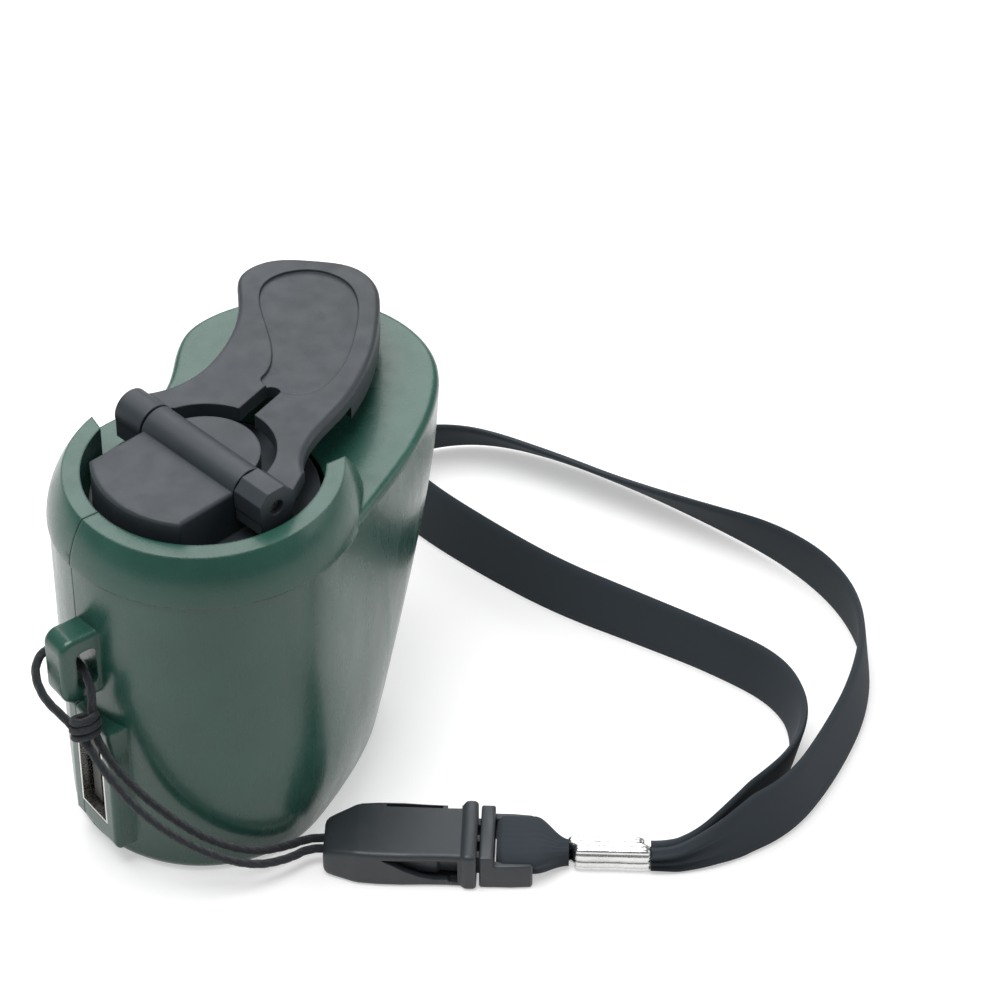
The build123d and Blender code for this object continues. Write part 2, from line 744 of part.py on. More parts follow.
# ---------------------------------------------------------------- bushes and carrier plates
with BuildPart() as spindle_bushes:
    for low, sheet in ((top_plate_low, plate_sheet), (deck_bottom, wall)):
        with BuildSketch(Plane.XY.offset(low)):
            Circle(spindle_radius + bush_wall - press_gap)
            Circle(spindle_radius + running_gap, mode=Mode.SUBTRACT)
        extrude(amount=sheet)
finish(spindle_bushes.part, "spindle_bushes")

top_screw_angles = (150, 215, 320)
with BuildPart() as bearing_plate:
    with BuildSketch(Plane.XY.offset(top_plate_low)):
        with BuildLine():
            Spline(*casing_outline(top_plate_low, wall + plate_fit), periodic=True)
        make_face()
        Circle(spindle_radius + bush_wall, mode=Mode.SUBTRACT)
        with Locations(idler_place):
            Circle(axle_radius + press_gap, mode=Mode.SUBTRACT)
        for angle in top_screw_angles:
            with Locations(polar(drive_pitch * 0.8, angle)):
                Circle(small_screw_shank + press_gap, mode=Mode.SUBTRACT)
    extrude(amount=plate_sheet)
finish(bearing_plate.part, "bearing_plate")

with BuildPart() as carrier_plate:
    with BuildSketch(Plane.XY.offset(carrier_height)):
        with BuildLine():
            Spline(*casing_outline(carrier_height, wall + plate_fit), periodic=True)
        make_face()
        with Locations(second_place):
            Circle(axle_radius + press_gap, mode=Mode.SUBTRACT)
        with Locations(rotor_place):
            Circle(motor_boss_radius + press_gap, mode=Mode.SUBTRACT)
        for turn in (0, 180):
            with Locations(motor_screw_place(turn)):
                Circle(small_screw_shank + press_gap, mode=Mode.SUBTRACT)
    extrude(amount=plate_sheet)
finish(carrier_plate.part, "carrier_plate")

# ---------------------------------------------------------------- motor
with BuildPart() as motor_can:
    with BuildSketch(Plane(origin=(rotor_place[0], rotor_place[1], motor_bottom))):
        Circle(motor_radius)
    extrude(amount=carrier_height - motor_bottom)
    fillet(motor_can.edges().group_by(Axis.Z)[-1], motor_round)
    with BuildSketch(Plane(origin=(rotor_place[0], rotor_place[1], carrier_height))):
        Circle(motor_boss_radius)
    extrude(amount=plate_sheet * 0.6)
    with BuildSketch(Plane(origin=(rotor_place[0], rotor_place[1], motor_bottom + motor_shaft_inset))):
        Circle(shaft_radius + running_gap)
    extrude(amount=carrier_top - motor_bottom, mode=Mode.SUBTRACT)
    for turn in (0, 180):
        with BuildSketch(Plane.XY.offset(carrier_height - motor_screw_depth - 0.2)):
            with Locations(motor_screw_place(turn)):
                Circle(small_screw_shank + press_gap)
        extrude(amount=motor_screw_depth + plate_sheet, mode=Mode.SUBTRACT)
finish(motor_can.part, "motor_can")

with BuildPart() as motor_cap:
    with BuildSketch(Plane(origin=(rotor_place[0], rotor_place[1], motor_bottom - cap_thickness))):
        Circle(motor_radius - cap_inset)
    extrude(amount=cap_thickness)
    with BuildSketch(Plane(origin=(rotor_place[0], rotor_place[1], wall + foot_gap))):
        Circle(foot_radius)
    extrude(amount=motor_bottom - cap_thickness - wall - foot_gap)
finish(motor_cap.part, "motor_cap")

with BuildPart() as plate_screws:
    for angle in top_screw_angles:
        spot = polar(drive_pitch * 0.8, angle)
        with BuildSketch(Plane.XY.offset(top_plate_low - small_screw_height)):
            with Locations(spot):
                Circle(small_screw_head)
        extrude(amount=small_screw_height)
        with BuildSketch(Plane.XY.offset(top_plate_low)):
            with Locations(spot):
                Circle(small_screw_shank)
        extrude(amount=plate_sheet)
finish(plate_screws.part, "plate_screws")

with BuildPart() as motor_screws:
    for turn in (0, 180):
        spot = motor_screw_place(turn)
        with BuildSketch(Plane.XY.offset(carrier_height - motor_screw_depth)):
            with Locations(spot):
                Circle(small_screw_shank)
        extrude(amount=plate_sheet + motor_screw_depth)
        with BuildSketch(Plane.XY.offset(carrier_top)):
            with Locations(spot):
                Circle(small_screw_head)
        extrude(amount=small_screw_height)
finish(motor_screws.part, "motor_screws")

# ---------------------------------------------------------------- circuit board and power socket
board_face = socket_back + board_offset
board_back = board_face + board_thickness
with BuildPart() as circuit_board:
    with BuildSketch(Plane.XZ.offset(-board_face)):
        with Locations(((board_left + board_right) / 2, (board_low + board_high) / 2)):
            Rectangle(board_right - board_left, board_high - board_low)
        for z in board_screw_heights:
            with Locations((board_screw_x, z)):
                Circle(small_screw_shank + press_gap, mode=Mode.SUBTRACT)
    extrude(amount=-board_thickness)
finish(circuit_board.part, "circuit_board")

socket_middle = (socket_back - socket_width / 2, socket_bottom + socket_height / 2)
with BuildPart() as power_socket_shell:
    with BuildSketch(Plane.YZ.offset(-pad_face)):
        with Locations(socket_middle):
            Rectangle(socket_width, socket_height)
            Rectangle(socket_width - 2 * socket_sheet, socket_height - 2 * socket_sheet,
                      mode=Mode.SUBTRACT)
    extrude(amount=socket_depth)
    with BuildSketch(Plane.YZ.offset(-pad_face + socket_depth - socket_plug)):
        with Locations(socket_middle):
            Rectangle(socket_width - socket_sheet, socket_height - socket_sheet)
    extrude(amount=socket_plug)
finish(power_socket_shell.part, "power_socket_shell")

with BuildPart() as power_socket_tongue:
    with BuildSketch(Plane.YZ.offset(-pad_face + tongue_setback)):
        with Locations((socket_back - tongue_centre, socket_middle[1])):
            Rectangle(tongue_thickness, socket_height - 2 * tongue_margin)
    extrude(amount=socket_depth - tongue_setback - socket_plug)
finish(power_socket_tongue.part, "power_socket_tongue")

contact_y = socket_back - tongue_centre - (tongue_thickness + contact_sheet) / 2
with BuildPart() as power_socket_contacts:
    for row in contact_rows:
        with BuildSketch(Plane.YZ.offset(-pad_face + contact_setback)):
            with Locations((contact_y, socket_middle[1] + row)):
                Rectangle(contact_sheet, contact_width)
        extrude(amount=socket_depth - contact_setback - socket_plug)
finish(power_socket_contacts.part, "power_socket_contacts")

with BuildPart() as capacitor:
    with BuildSketch(Plane.XZ.offset(-board_back)):
        with Locations((capacitor_at[0], board_low + capacitor_at[1])):
            Circle(capacitor_radius)
    extrude(amount=-capacitor_length)
    fillet(capacitor.edges().group_by(Axis.Y)[-1], capacitor_round)
finish(capacitor.part, "capacitor")

with BuildPart() as diodes:
    for row in range(4):
        with BuildSketch(Plane.XZ.offset(-board_back)):
            with Locations((diode_x, board_low + diode_first + diode_step * row)):
                Rectangle(diode_size[0], diode_size[1])
        extrude(amount=-diode_size[2])
finish(diodes.part, "diodes")

with BuildPart() as regulator:
    with BuildSketch(Plane.XZ.offset(-board_back)):
        with Locations((regulator_at[0], board_high - regulator_at[1])):
            Rectangle(regulator_size[0], regulator_size[1])
    extrude(amount=-regulator_size[2])
finish(regulator.part, "regulator")

with BuildPart() as board_screws:
    for z in board_screw_heights:
        with BuildSketch(Plane.XZ.offset(-board_face)):
            with Locations((board_screw_x, z)):
                Circle(small_screw_head)
        extrude(amount=small_screw_height)
        with BuildSketch(Plane.XZ.offset(-board_face)):
            with Locations((board_screw_x, z)):
                Circle(small_screw_shank)
        extrude(amount=-board_screw_length)
finish(board_screws.part, "board_screws")

# ---------------------------------------------------------------- lanyard: buckle
along = polar(1, buckle_angle)
across = polar(1, buckle_angle + 90)


def on_buckle(u, v):
    return (buckle_start[0] + along[0] * u + across[0] * v,
            buckle_start[1] + along[1] * u + across[1] * v)


def buckle_plane(height):
    return Plane(origin=(buckle_start[0], buckle_start[1], height),
                 x_dir=(along[0], along[1], 0), z_dir=(0, 0, 1))


half_width = buckle_width / 2
window_end = socket_length - rim_length - mouth_band
with BuildPart() as buckle_socket:
    with BuildSketch(buckle_plane(0)):
        with BuildLine():
            Polyline((0, -buckle_nose_width / 2), (taper_length, -half_width),
                     (socket_length, -half_width), (socket_length, half_width),
                     (taper_length, half_width), (0, buckle_nose_width / 2), close=True)
        make_face()
    extrude(amount=buckle_thickness)
    with BuildSketch(buckle_plane(0)):
        with Locations((socket_length - rim_length / 2, 0)):
            Rectangle(rim_length, buckle_width + 2 * rim_swell)
    extrude(amount=buckle_thickness + rim_rise)
    # slot for the prongs, open at the mouth, with a window on each side
    with BuildSketch(buckle_plane(buckle_wall)):
        with Locations(((cavity_start + socket_length) / 2, 0)):
            Rectangle(socket_length - cavity_start, buckle_width - 2 * buckle_wall)
        with Locations(((window_start + window_end) / 2, 0)):
            Rectangle(window_end - window_start, 2 * buckle_width)
    extrude(amount=buckle_thickness - 2 * buckle_wall, mode=Mode.SUBTRACT)
finish(buckle_socket.part, "buckle_socket")

prong_gap = side_gap
prong_half = half_width - buckle_wall - prong_gap
prong_end = socket_length + prong_gap + prong_root
bar_centre = socket_length + block_length - bar_radius
with BuildPart() as buckle_plug:
    # base wall, two arms and the bar that the webbing goes round
    with BuildSketch(buckle_plane(0)):
        with Locations((socket_length + prong_gap + block_length / 2, 0)):
            Rectangle(block_length, buckle_width - block_step)
        with Locations((socket_length + prong_gap + block_length / 2 + base_wall, 0)):
            Rectangle(block_length, buckle_width - block_step - 2 * frame_wall, mode=Mode.SUBTRACT)
    extrude(amount=buckle_thickness - block_step)
    with BuildSketch(Plane(origin=(*on_buckle(bar_centre, half_width - frame_wall / 2),
                                   buckle_thickness / 2), z_dir=(-across[0], -across[1], 0))):
        Circle(bar_radius)
    extrude(amount=buckle_width - frame_wall)
    # side prongs with barbs, and the guide tongue between them
    with BuildSketch(buckle_plane(buckle_wall + prong_gap)):
        for side in (-1, 1):
            with BuildLine():
                Polyline((prong_end, side * prong_half),
                         (prong_end, side * (prong_half - prong_thickness)),
                         (barb_back - 0.5, side * (prong_half - prong_thickness + 0.2)),
                         (barb_tip + 0.2, side * (prong_half - prong_thickness - 0.4)),
                         (barb_tip, side * (prong_half - prong_thickness / 2)),
                         (barb_back, side * prong_half), close=True)
            make_face()
        with Locations(((guide_start + prong_end) / 2, 0)):
            Rectangle(prong_end - guide_start, guide_width)
    extrude(amount=buckle_thickness - 2 * buckle_wall - 2 * prong_gap)
finish(buckle_plug.part, "buckle_plug")

# webbing gathered from the bar into the ferrule
tail_start = socket_length + prong_gap + base_wall + 0.4
tail_fan = bar_centre + bar_radius + 0.5
tail_half = half_width - frame_wall - 0.5
with BuildPart() as webbing_tail:
    with BuildSketch(Plane(origin=(*on_buckle(tail_start, 0), buckle_thickness / 2),
                           x_dir=(across[0], across[1], 0), z_dir=(along[0], along[1], 0))):
        Rectangle(2 * tail_half, tail_height)
    extrude(amount=tail_fan - tail_start)
    with BuildSketch(Plane(origin=(*on_buckle(tail_fan, 0), buckle_thickness / 2),
                           x_dir=(across[0], across[1], 0), z_dir=(along[0], along[1], 0))):
        Rectangle(2 * tail_half, tail_height)
    with BuildSketch(Plane(origin=(*on_buckle(ferrule_start, 0), ferrule_height / 2 + ferrule_low),
                           x_dir=(across[0], across[1], 0), z_dir=(along[0], along[1], 0))):
        Rectangle(ferrule_width - tail_ease, ferrule_height - tail_ease)
    loft()
    with BuildSketch(Plane(origin=(*on_buckle(bar_centre, half_width), buckle_thickness / 2),
                           z_dir=(-across[0], -across[1], 0))):
        Circle(bar_radius + press_gap)
    extrude(amount=buckle_width, mode=Mode.SUBTRACT)
finish(webbing_tail.part, "webbing_tail")

with BuildPart() as crimp_ferrule:
    with BuildSketch(Plane(origin=(*on_buckle(ferrule_start, 0), ferrule_height / 2 + ferrule_low),
                           x_dir=(across[0], across[1], 0), z_dir=(along[0], along[1], 0))):
        Rectangle(ferrule_width, ferrule_height)
        for side in (-1, 1):
            with GridLocations(0, ferrule_height / ferrule_ridges, 1, ferrule_ridges):
                with Locations((side * ferrule_width / 2, 0)):
                    Circle(ferrule_height / ferrule_ridges * 0.38)
            with GridLocations(ferrule_width / ferrule_ridges, 0, ferrule_ridges, 1):
                with Locations((0, side * ferrule_height / 2)):
                    Circle(ferrule_width / ferrule_ridges * 0.2)
    extrude(amount=ferrule_length)
finish(crimp_ferrule.part, "crimp_ferrule")

# ---------------------------------------------------------------- lanyard: strap and cord
ferrule_end = ferrule_start + ferrule_length
# the strap stands on its edge: out of the ferrule, round behind the casing and back
strap_route = [on_buckle(ferrule_end + press_gap, 0.7), on_buckle(ferrule_end + 2.6, 0.75),
               (39.8, -46.8), (46.4, -45.6), (54.5, -43.4), (60.6, -38.6), (63.0, -31.4),
               (60.4, -22.0), (56.2, -12.0), (51.2, -1.0), (48.0, 10.6), (45.8, 22.0),
               (45.4, 32.0), (51.6, 37.6), (59.4, 36.6), (66.2, 32.0), (71.8, 22.8),
               (75.8, 12.4), (79.2, 0.4), (81.6, -11.4), (81.4, -22.8), (77.6, -32.8),
               (70.0, -41.0), (60.0, -47.0), (50.4, -50.8), (41.6, -50.2),
               on_buckle(ferrule_end + 3.6, -0.8), on_buckle(ferrule_end + press_gap, -0.7)]
strap_radii = fillet_radii([(x, y, 0) for x, y in strap_route])
print("strap radii", [round(r, 1) for r in strap_radii])
with BuildLine() as strap_line:
    FilletPolyline(*strap_route, radius=strap_radii)
print("strap length", round(strap_line.wire().length, 1))
with BuildPart() as strap_webbing:
    with BuildSketch():
        trace(strap_line.wire(), strap_thickness)
    extrude(amount=strap_width)
finish(strap_webbing.part, "strap_webbing")

# the cord goes from the buckle up to the lug, through it, round its bar and back down
cord_route = [(*on_buckle(0, cord_half_gap), cord_height),
              (*on_buckle(-cord_straight, cord_half_gap), cord_height),
              (-2.6, -18.2, 2.7), (-7.4, -18.0, 4.4), (-12.6, -15.8, 8.0), (-16.8, -11.8, 12.8),
              (-19.6, -8.8, 17.6), (-20.9, -6.1, 22.4), (-20.5, -5.6, 25.6), (-20.1, -5.3, 28.6),
              (-19.9, -2.6, 30.6), (-20.6, 1.5, 30.8), (-22.8, 1.9, 30.1), (-24.4, 0.6, 28.7),
              (-24.6, -1.8, 26.6), (-23.4, -4.4, 24.8), (-22.3, -6.3, 22.4), (-21.2, -9.2, 18.0),
              (-18.6, -13.2, 12.6), (-13.8, -17.2, 7.6), (-8.4, -19.7, 4.0), (-3.4, -20.1, 2.6),
              (*on_buckle(-cord_straight, -cord_half_gap), cord_height),
              (*on_buckle(0, -cord_half_gap), cord_height)]
cord_radii = fillet_radii(cord_route)
print("cord radii", [round(r, 1) for r in cord_radii])
with BuildPart() as lanyard_cord:
    with BuildLine() as cord_line:
        FilletPolyline(*cord_route, radius=cord_radii)
    cord_wire = cord_line.wire()
    with BuildSketch(Plane(origin=cord_wire @ 0, z_dir=cord_wire % 0)):
        Circle(cord_diameter / 2)
    sweep(path=cord_wire)
print("cord length", round(cord_wire.length, 1), "volume", round(lanyard_cord.part.volume, 1),
      "expected", round(cord_wire.length * pi * cord_diameter ** 2 / 4, 1))
finish(lanyard_cord.part, "lanyard_cord")

# hitch that holds the two strands together under the lug
with BuildPart() as cord_hitch:
    with BuildSketch(Plane(origin=hitch_at, x_dir=(1, 0, -0.1), z_dir=(-0.1, -0.2, -1))):
        RectangleRounded(hitch_width, hitch_depth, hitch_depth * 0.45)
    extrude(amount=hitch_length)
finish(cord_hitch.part, "cord_hitch")
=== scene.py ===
from math import cos, pi, radians, sin, sqrt

import bmesh
import bpy
from bpy.props import FloatProperty, FloatVectorProperty, PointerProperty
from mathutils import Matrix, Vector


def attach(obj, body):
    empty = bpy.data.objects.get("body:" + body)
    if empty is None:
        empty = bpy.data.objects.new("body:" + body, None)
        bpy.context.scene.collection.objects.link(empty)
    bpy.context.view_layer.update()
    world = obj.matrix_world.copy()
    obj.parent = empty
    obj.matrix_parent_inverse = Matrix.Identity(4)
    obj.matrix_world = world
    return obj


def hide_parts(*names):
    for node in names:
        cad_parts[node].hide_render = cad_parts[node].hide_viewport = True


bl_info = {
    "name": "Hand crank generator",
    "version": (1, 0, 0),
    "blender": (4, 5, 0),
    "location": "View3D > Sidebar > Generator",
    "description": "Finishes a pocket hand crank generator and its wrist lanyard",
    "category": "Object",
}

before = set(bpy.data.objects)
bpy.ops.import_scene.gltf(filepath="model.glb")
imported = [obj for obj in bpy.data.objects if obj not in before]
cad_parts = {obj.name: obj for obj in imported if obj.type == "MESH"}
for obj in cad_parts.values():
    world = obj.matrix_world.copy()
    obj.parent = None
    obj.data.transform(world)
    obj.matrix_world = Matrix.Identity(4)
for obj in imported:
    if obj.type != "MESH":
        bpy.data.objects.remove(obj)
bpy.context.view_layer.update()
MM = 0.001

# ---------------------------------------------------------------- camera, floor and lights, in metres
CAMERA_LENS = 144.0
CAMERA_SENSOR = 36.0
CAMERA_NEAR = 0.01
CAMERA_AZIMUTH = radians(-36.12)
CAMERA_ELEVATION = radians(39.55)
CAMERA_PLACE = (-0.1860, -0.3137, 0.3436)
FLOOR_HALF = 3.0
FLOOR_TONES = ((0.60, 0.60, 0.60), (0.63, 0.63, 0.63))
FLOOR_PATCHES = 12.0        # a metre
FLOOR_ROUGHNESS = 0.85
FLOOR_GLOW = 0.45           # makes the floor white where it is seen
LIGHT_AIM = Vector((0.02, 0.0, 0.02))
# name, place and size of each square light
KEY_LIGHT = ("key_light", (-0.10, 0.04, 0.60), 0.45)
SIDE_LIGHT = ("side_light", (0.45, -0.25, 0.30), 0.40)
BACK_LIGHT = ("back_light", (0.27, 0.40, 0.42), 0.42)
BACK_LIGHT_SHARE = 2        # of the side light's power

# ---------------------------------------------------------------- the lanyard's places, in millimetres
BUCKLE_START = Vector((1.8, -20.2, 0.0))
BUCKLE_ANGLE = radians(-38.1)
ALONG = Vector((cos(BUCKLE_ANGLE), sin(BUCKLE_ANGLE), 0.0))
ACROSS = Vector((-sin(BUCKLE_ANGLE), cos(BUCKLE_ANGLE), 0.0))
UP = Vector((0.0, 0.0, 1.0))
SOCKET_LENGTH = 18.6
SIDE_GAP = 0.35
BLOCK_LENGTH = 6.4
BUCKLE_THICKNESS = 5.2
FERRULE_START = 29.6
FERRULE_LENGTH = 10.0
FERRULE_END = FERRULE_START + FERRULE_LENGTH
FERRULE_HEIGHT = 3.2
FERRULE_WIDTH = 3.0
FERRULE_MIDDLE = FERRULE_HEIGHT / 2 + 0.2
FERRULE_SLIP = 0.4          # its two halves are crimped this much out of line
FERRULE_STEPS = 26
FERRULE_CORNERS = 144
FERRULE_MOUTH = 0.74        # share of its section that is open at each end
FERRULE_END_EASE = 1.5      # steps over which an end is rounded
FERRULE_END_SHARE = 0.88    # share of its section left at each end
FERRULE_SQUARENESS = 5
FLUTES = 10
FLUTE_DEPTH = 0.24
FLUTE_POWER = 0.6
FLUTE_TURN = 0.25
DENT_DEPTH = 0.05
DENT_WAVES = (3.1, 1.7)     # half waves along it, and the step of the slower one
CORD_HEIGHT = 2.4
CORD_HALF_GAP = 0.9
CORD_STRAIGHT = 1.8
CORD_CORNERS = 18
TWIST_LENGTH = 9.0          # one turn of the strands, in radii of the cord
STRAND_DEPTH = 0.10         # share of the radius by which the strands part
HITCH_TOP = Vector((-21.5, -5.55, 25.2))
HITCH_DOWN = Vector((-0.12, -0.22, -1.0)).normalized()
HITCH_DROP = 3.0
HITCH_HALF_WIDTH = 1.35
HITCH_HALF_DEPTH = 0.95
HITCH_SWELL = 0.22
HITCH_TURNS = 3
HITCH_STEPS = 22            # in each turn
HITCH_CORD_SHARE = 0.92     # the cord is pulled thinner there
GATHERED_HEIGHT = FERRULE_HEIGHT * 0.86
GATHER_LENGTH = 14.0
GATHER_THICKENING = 0.35
STRAP_FOOT = 0.2
STRAP_EDGE_POINTS = 12
LEAN_LIFT = 0.62            # share of the thickness by which a leaning strap is raised
FLOOR_GAP = 0.05            # least height of the strap over the floor
SELVEDGE_START = 0.82       # of the half width
SELVEDGE_SWELL = 0.22
TAIL_HALF_WIDTH = 3.5
TAIL_HALF_HEIGHT = 2.15
TAIL_STEPS = 44
TAIL_CORNERS = 96
TAIL_PLEATS = 9
TAIL_ROUNDNESS = 3.2
TAIL_NOSE_STEPS = 3.0       # over which its folded end rounds off
TAIL_NOSE_HEIGHT = 0.75     # share of its height at that end
PLEAT_DEPTH = 0.10          # at the buckle
PLEAT_DEEPENING = 0.16      # towards the ferrule
PLEAT_POWER = 0.6
PLEAT_START = 0.8
PLEAT_WANDER = 0.5
PLEAT_WANDER_RATE = 0.9
TAIL_OVERHANG = 0.75        # how far it spreads over the buckle's arms
OVERHANG_BELOW = 0.3        # starts this much under its middle
OVERHANG_RISE = 1.2
OVERHANG_RUN = 0.8
FERRULE_INSET = 0.15        # between the webbing and the ferrule's half sizes


def on_buckle(u, v, z=0.0):
    """A point u along the buckle from its cord end, v across it and z up."""
    return BUCKLE_START + ALONG * u + ACROSS * v + UP * z


def flat_point(u, v):
    point = on_buckle(u, v)
    return (point.x, point.y)


# plan of the strap's centre, standing on its edge, and how far it leans inwards there, in degrees
STRAP_ROUTE = [
    (flat_point(FERRULE_END + 0.02, 0.7), 0), (flat_point(FERRULE_END + 2.6, 0.75), 2),
    ((39.8, -46.8), 8), ((46.4, -45.6), 12), ((54.5, -43.4), 14), ((60.6, -38.6), 8),
    ((63.0, -31.4), 2), ((60.4, -22.0), -2), ((56.2, -12.0), 0), ((51.2, -1.0), 4),
    ((48.0, 10.6), 8), ((45.8, 22.0), 10), ((45.4, 32.0), 14), ((51.6, 37.6), 24),
    ((59.4, 36.6), 34), ((66.2, 32.0), 42), ((71.8, 22.8), 47), ((75.8, 12.4), 46),
    ((79.2, 0.4), 34), ((81.6, -11.4), 14), ((81.4, -22.8), 4), ((77.6, -32.8), 6),
    ((70.0, -41.0), 12), ((60.0, -47.0), 12), ((50.4, -50.8), 8), ((41.6, -50.2), 4),
    (flat_point(FERRULE_END + 3.6, -0.8), 2), (flat_point(FERRULE_END + 0.02, -0.7), 0),
]

CORD_ROUTE = [
    on_buckle(0, CORD_HALF_GAP, CORD_HEIGHT), on_buckle(-CORD_STRAIGHT, CORD_HALF_GAP, CORD_HEIGHT),
    (-2.6, -18.2, 2.7), (-7.4, -18.0, 4.4), (-12.6, -15.8, 8.0), (-16.8, -11.8, 12.8),
    (-19.6, -8.8, 17.6), (-20.9, -6.1, 22.4), (-20.5, -5.6, 25.6), (-20.1, -5.3, 28.6),
    (-19.9, -2.6, 30.6), (-20.6, 1.5, 30.8), (-22.8, 1.9, 30.1), (-24.4, 0.6, 28.7),
    (-24.6, -1.8, 26.6), (-23.4, -4.4, 24.8), (-22.3, -6.3, 22.4), (-21.2, -9.2, 18.0),
    (-18.6, -13.2, 12.6), (-13.8, -17.2, 7.6), (-8.4, -19.7, 4.0), (-3.4, -20.1, 2.6),
    on_buckle(-CORD_STRAIGHT, -CORD_HALF_GAP, CORD_HEIGHT), on_buckle(0, -CORD_HALF_GAP, CORD_HEIGHT),
]


# ---------------------------------------------------------------- user settings
class CaseSettings(bpy.types.PropertyGroup):
    """Finish of the two casing halves."""
    green: FloatVectorProperty(
        name="Case green", description="Colour of the moulded casing", subtype="COLOR",
        size=3, min=0, max=1, default=(0.012, 0.058, 0.042))
    green_light: FloatVectorProperty(
        name="Worn green", description="Paler green where the casing is rubbed", subtype="COLOR",
        size=3, min=0, max=1, default=(0.020, 0.080, 0.060))
    gloss: FloatProperty(
        name="Roughness", description="Roughness of the casing's skin", min=0, max=1, default=0.26)
    grain: FloatProperty(
        name="Spark grain", description="Depth of the mould's fine grain", min=0, max=0.0002,
        unit="LENGTH", default=0.000012)


class CrankSettings(bpy.types.PropertyGroup):
    """Finish of the crank drum, its pin and the folding handle."""
    charcoal: FloatVectorProperty(
        name="Crank charcoal", description="Colour of the crank and handle", subtype="COLOR",
        size=3, min=0, max=1, default=(0.020, 0.026, 0.032))
    sheen_roughness: FloatProperty(
        name="Roughness", description="Roughness of the satin plastic", min=0, max=1, default=0.50)


class LanyardSettings(bpy.types.PropertyGroup):
    """Sizes and colours of the lanyard."""
    strap_width: FloatProperty(
        name="Strap width", description="Width of the woven strap", unit="LENGTH",
        min=0.004, max=0.02, default=0.009)
    strap_thickness: FloatProperty(
        name="Strap thickness", description="Thickness of the woven strap", unit="LENGTH",
        min=0.0004, max=0.002, default=0.0009)
    strap_colour: FloatVectorProperty(
        name="Strap colour", description="Colour of the polyester webbing", subtype="COLOR",
        size=3, min=0, max=1, default=(0.022, 0.031, 0.041))
    cord_diameter: FloatProperty(
        name="Cord diameter", description="Diameter of the thin cord", unit="LENGTH",
        min=0.0005, max=0.003, default=0.0011)
    cord_colour: FloatVectorProperty(
        name="Cord colour", description="Colour of the thin cord", subtype="COLOR",
        size=3, min=0, max=1, default=(0.012, 0.017, 0.023))
    buckle_colour: FloatVectorProperty(
        name="Buckle colour", description="Colour of the side-release buckle", subtype="COLOR",
        size=3, min=0, max=1, default=(0.026, 0.031, 0.036))


class StageSettings(bpy.types.PropertyGroup):
    """Floor, lights and camera."""
    key_power: FloatProperty(
        name="Key light", description="Strength of the large soft key light, in watts",
        min=0, max=50, default=4.2)
    fill_power: FloatProperty(
        name="Fill light", description="Strength of the softer side lights, in watts",
        min=0, max=50, default=0.8)
    sky: FloatProperty(
        name="Sky", description="Strength of the even light from all round", min=0, max=3, default=0.26)


# ---------------------------------------------------------------- node helpers
def new_material(name):
    material = bpy.data.materials.new(name)
    material.use_nodes = True
    tree = material.node_tree
    tree.nodes.clear()
    output = tree.nodes.new("ShaderNodeOutputMaterial")
    shader = tree.nodes.new("ShaderNodeBsdfPrincipled")
    tree.links.new(shader.outputs["BSDF"], output.inputs["Surface"])
    return material, tree, shader


def place(tree, scale=(1.0, 1.0, 1.0)):
    """Object coordinates in metres, stretched by scale."""
    coordinates = tree.nodes.new("ShaderNodeTexCoord")
    mapping = tree.nodes.new("ShaderNodeMapping")
    mapping.inputs["Scale"].default_value = scale
    tree.links.new(coordinates.outputs["Object"], mapping.inputs["Vector"])
    return mapping.outputs["Vector"]


def noise(tree, vector, per_metre, detail=3.0):
    node = tree.nodes.new("ShaderNodeTexNoise")
    node.inputs["Scale"].default_value = per_metre
    node.inputs["Detail"].default_value = detail
    node.inputs["Roughness"].default_value = 0.55
    tree.links.new(vector, node.inputs["Vector"])
    return node.outputs["Fac"]


def span(tree, value, low, high, from_low=0.3, from_high=0.7):
    """value, from its usual spread, mapped to low..high."""
    node = tree.nodes.new("ShaderNodeMapRange")
    node.inputs["From Min"].default_value = from_low
    node.inputs["From Max"].default_value = from_high
    node.inputs["To Min"].default_value = low
    node.inputs["To Max"].default_value = high
    tree.links.new(value, node.inputs["Value"])
    return node.outputs["Result"]


def blend_colours(tree, factor, dark, light):
    node = tree.nodes.new("ShaderNodeMix")
    node.data_type = "RGBA"
    tree.links.new(factor, node.inputs["Factor"])
    node.inputs["A"].default_value = (*dark, 1.0)
    node.inputs["B"].default_value = (*light, 1.0)
    return node.outputs["Result"]


def soft_edges(tree, radius):
    """Normals rounded over every edge by radius, in metres."""
    node = tree.nodes.new("ShaderNodeBevel")
    node.samples = 4
    node.inputs["Radius"].default_value = radius
    return node.outputs["Normal"]


def bump(tree, shader, height, distance, strength=1.0, under=None):
    node = tree.nodes.new("ShaderNodeBump")
    node.inputs["Distance"].default_value = distance
    node.inputs["Strength"].default_value = strength
    tree.links.new(height, node.inputs["Height"])
    if under is not None:
        tree.links.new(under, node.inputs["Normal"])
    tree.links.new(node.outputs["Normal"], shader.inputs["Normal"])
    return node.outputs["Normal"]


def lighter(colour, share):
    return tuple(min(1.0, c * share) for c in colour)


# ---------------------------------------------------------------- materials
# patterns: how many there are in a metre
CLOUDS = 90.0
SMEARS = 420.0
RIPPLES = 260.0
GRAINS = 9000.0
SCRATCHES = 6000.0
STAINS = 350.0
TRACES = 700.0
RIBS = 320.0
YARNS = 420.0
CLOTH_PATCHES = 140.0
CLOTH_FUZZ = 5200.0
FIBRES = 2600.0
CORD_FUZZ = 4200.0
# depths, in metres
RIPPLE_DEPTH = 0.00006
SCRATCH_DEPTH = 0.000004
TRACE_DEPTH = 0.00003
WEAVE_DEPTH = 0.00016
FIBRE_DEPTH = 0.00005
FUZZ_DEPTH = 0.00003
SMEAR_STRETCH = (1.0, 1.0, 0.25)


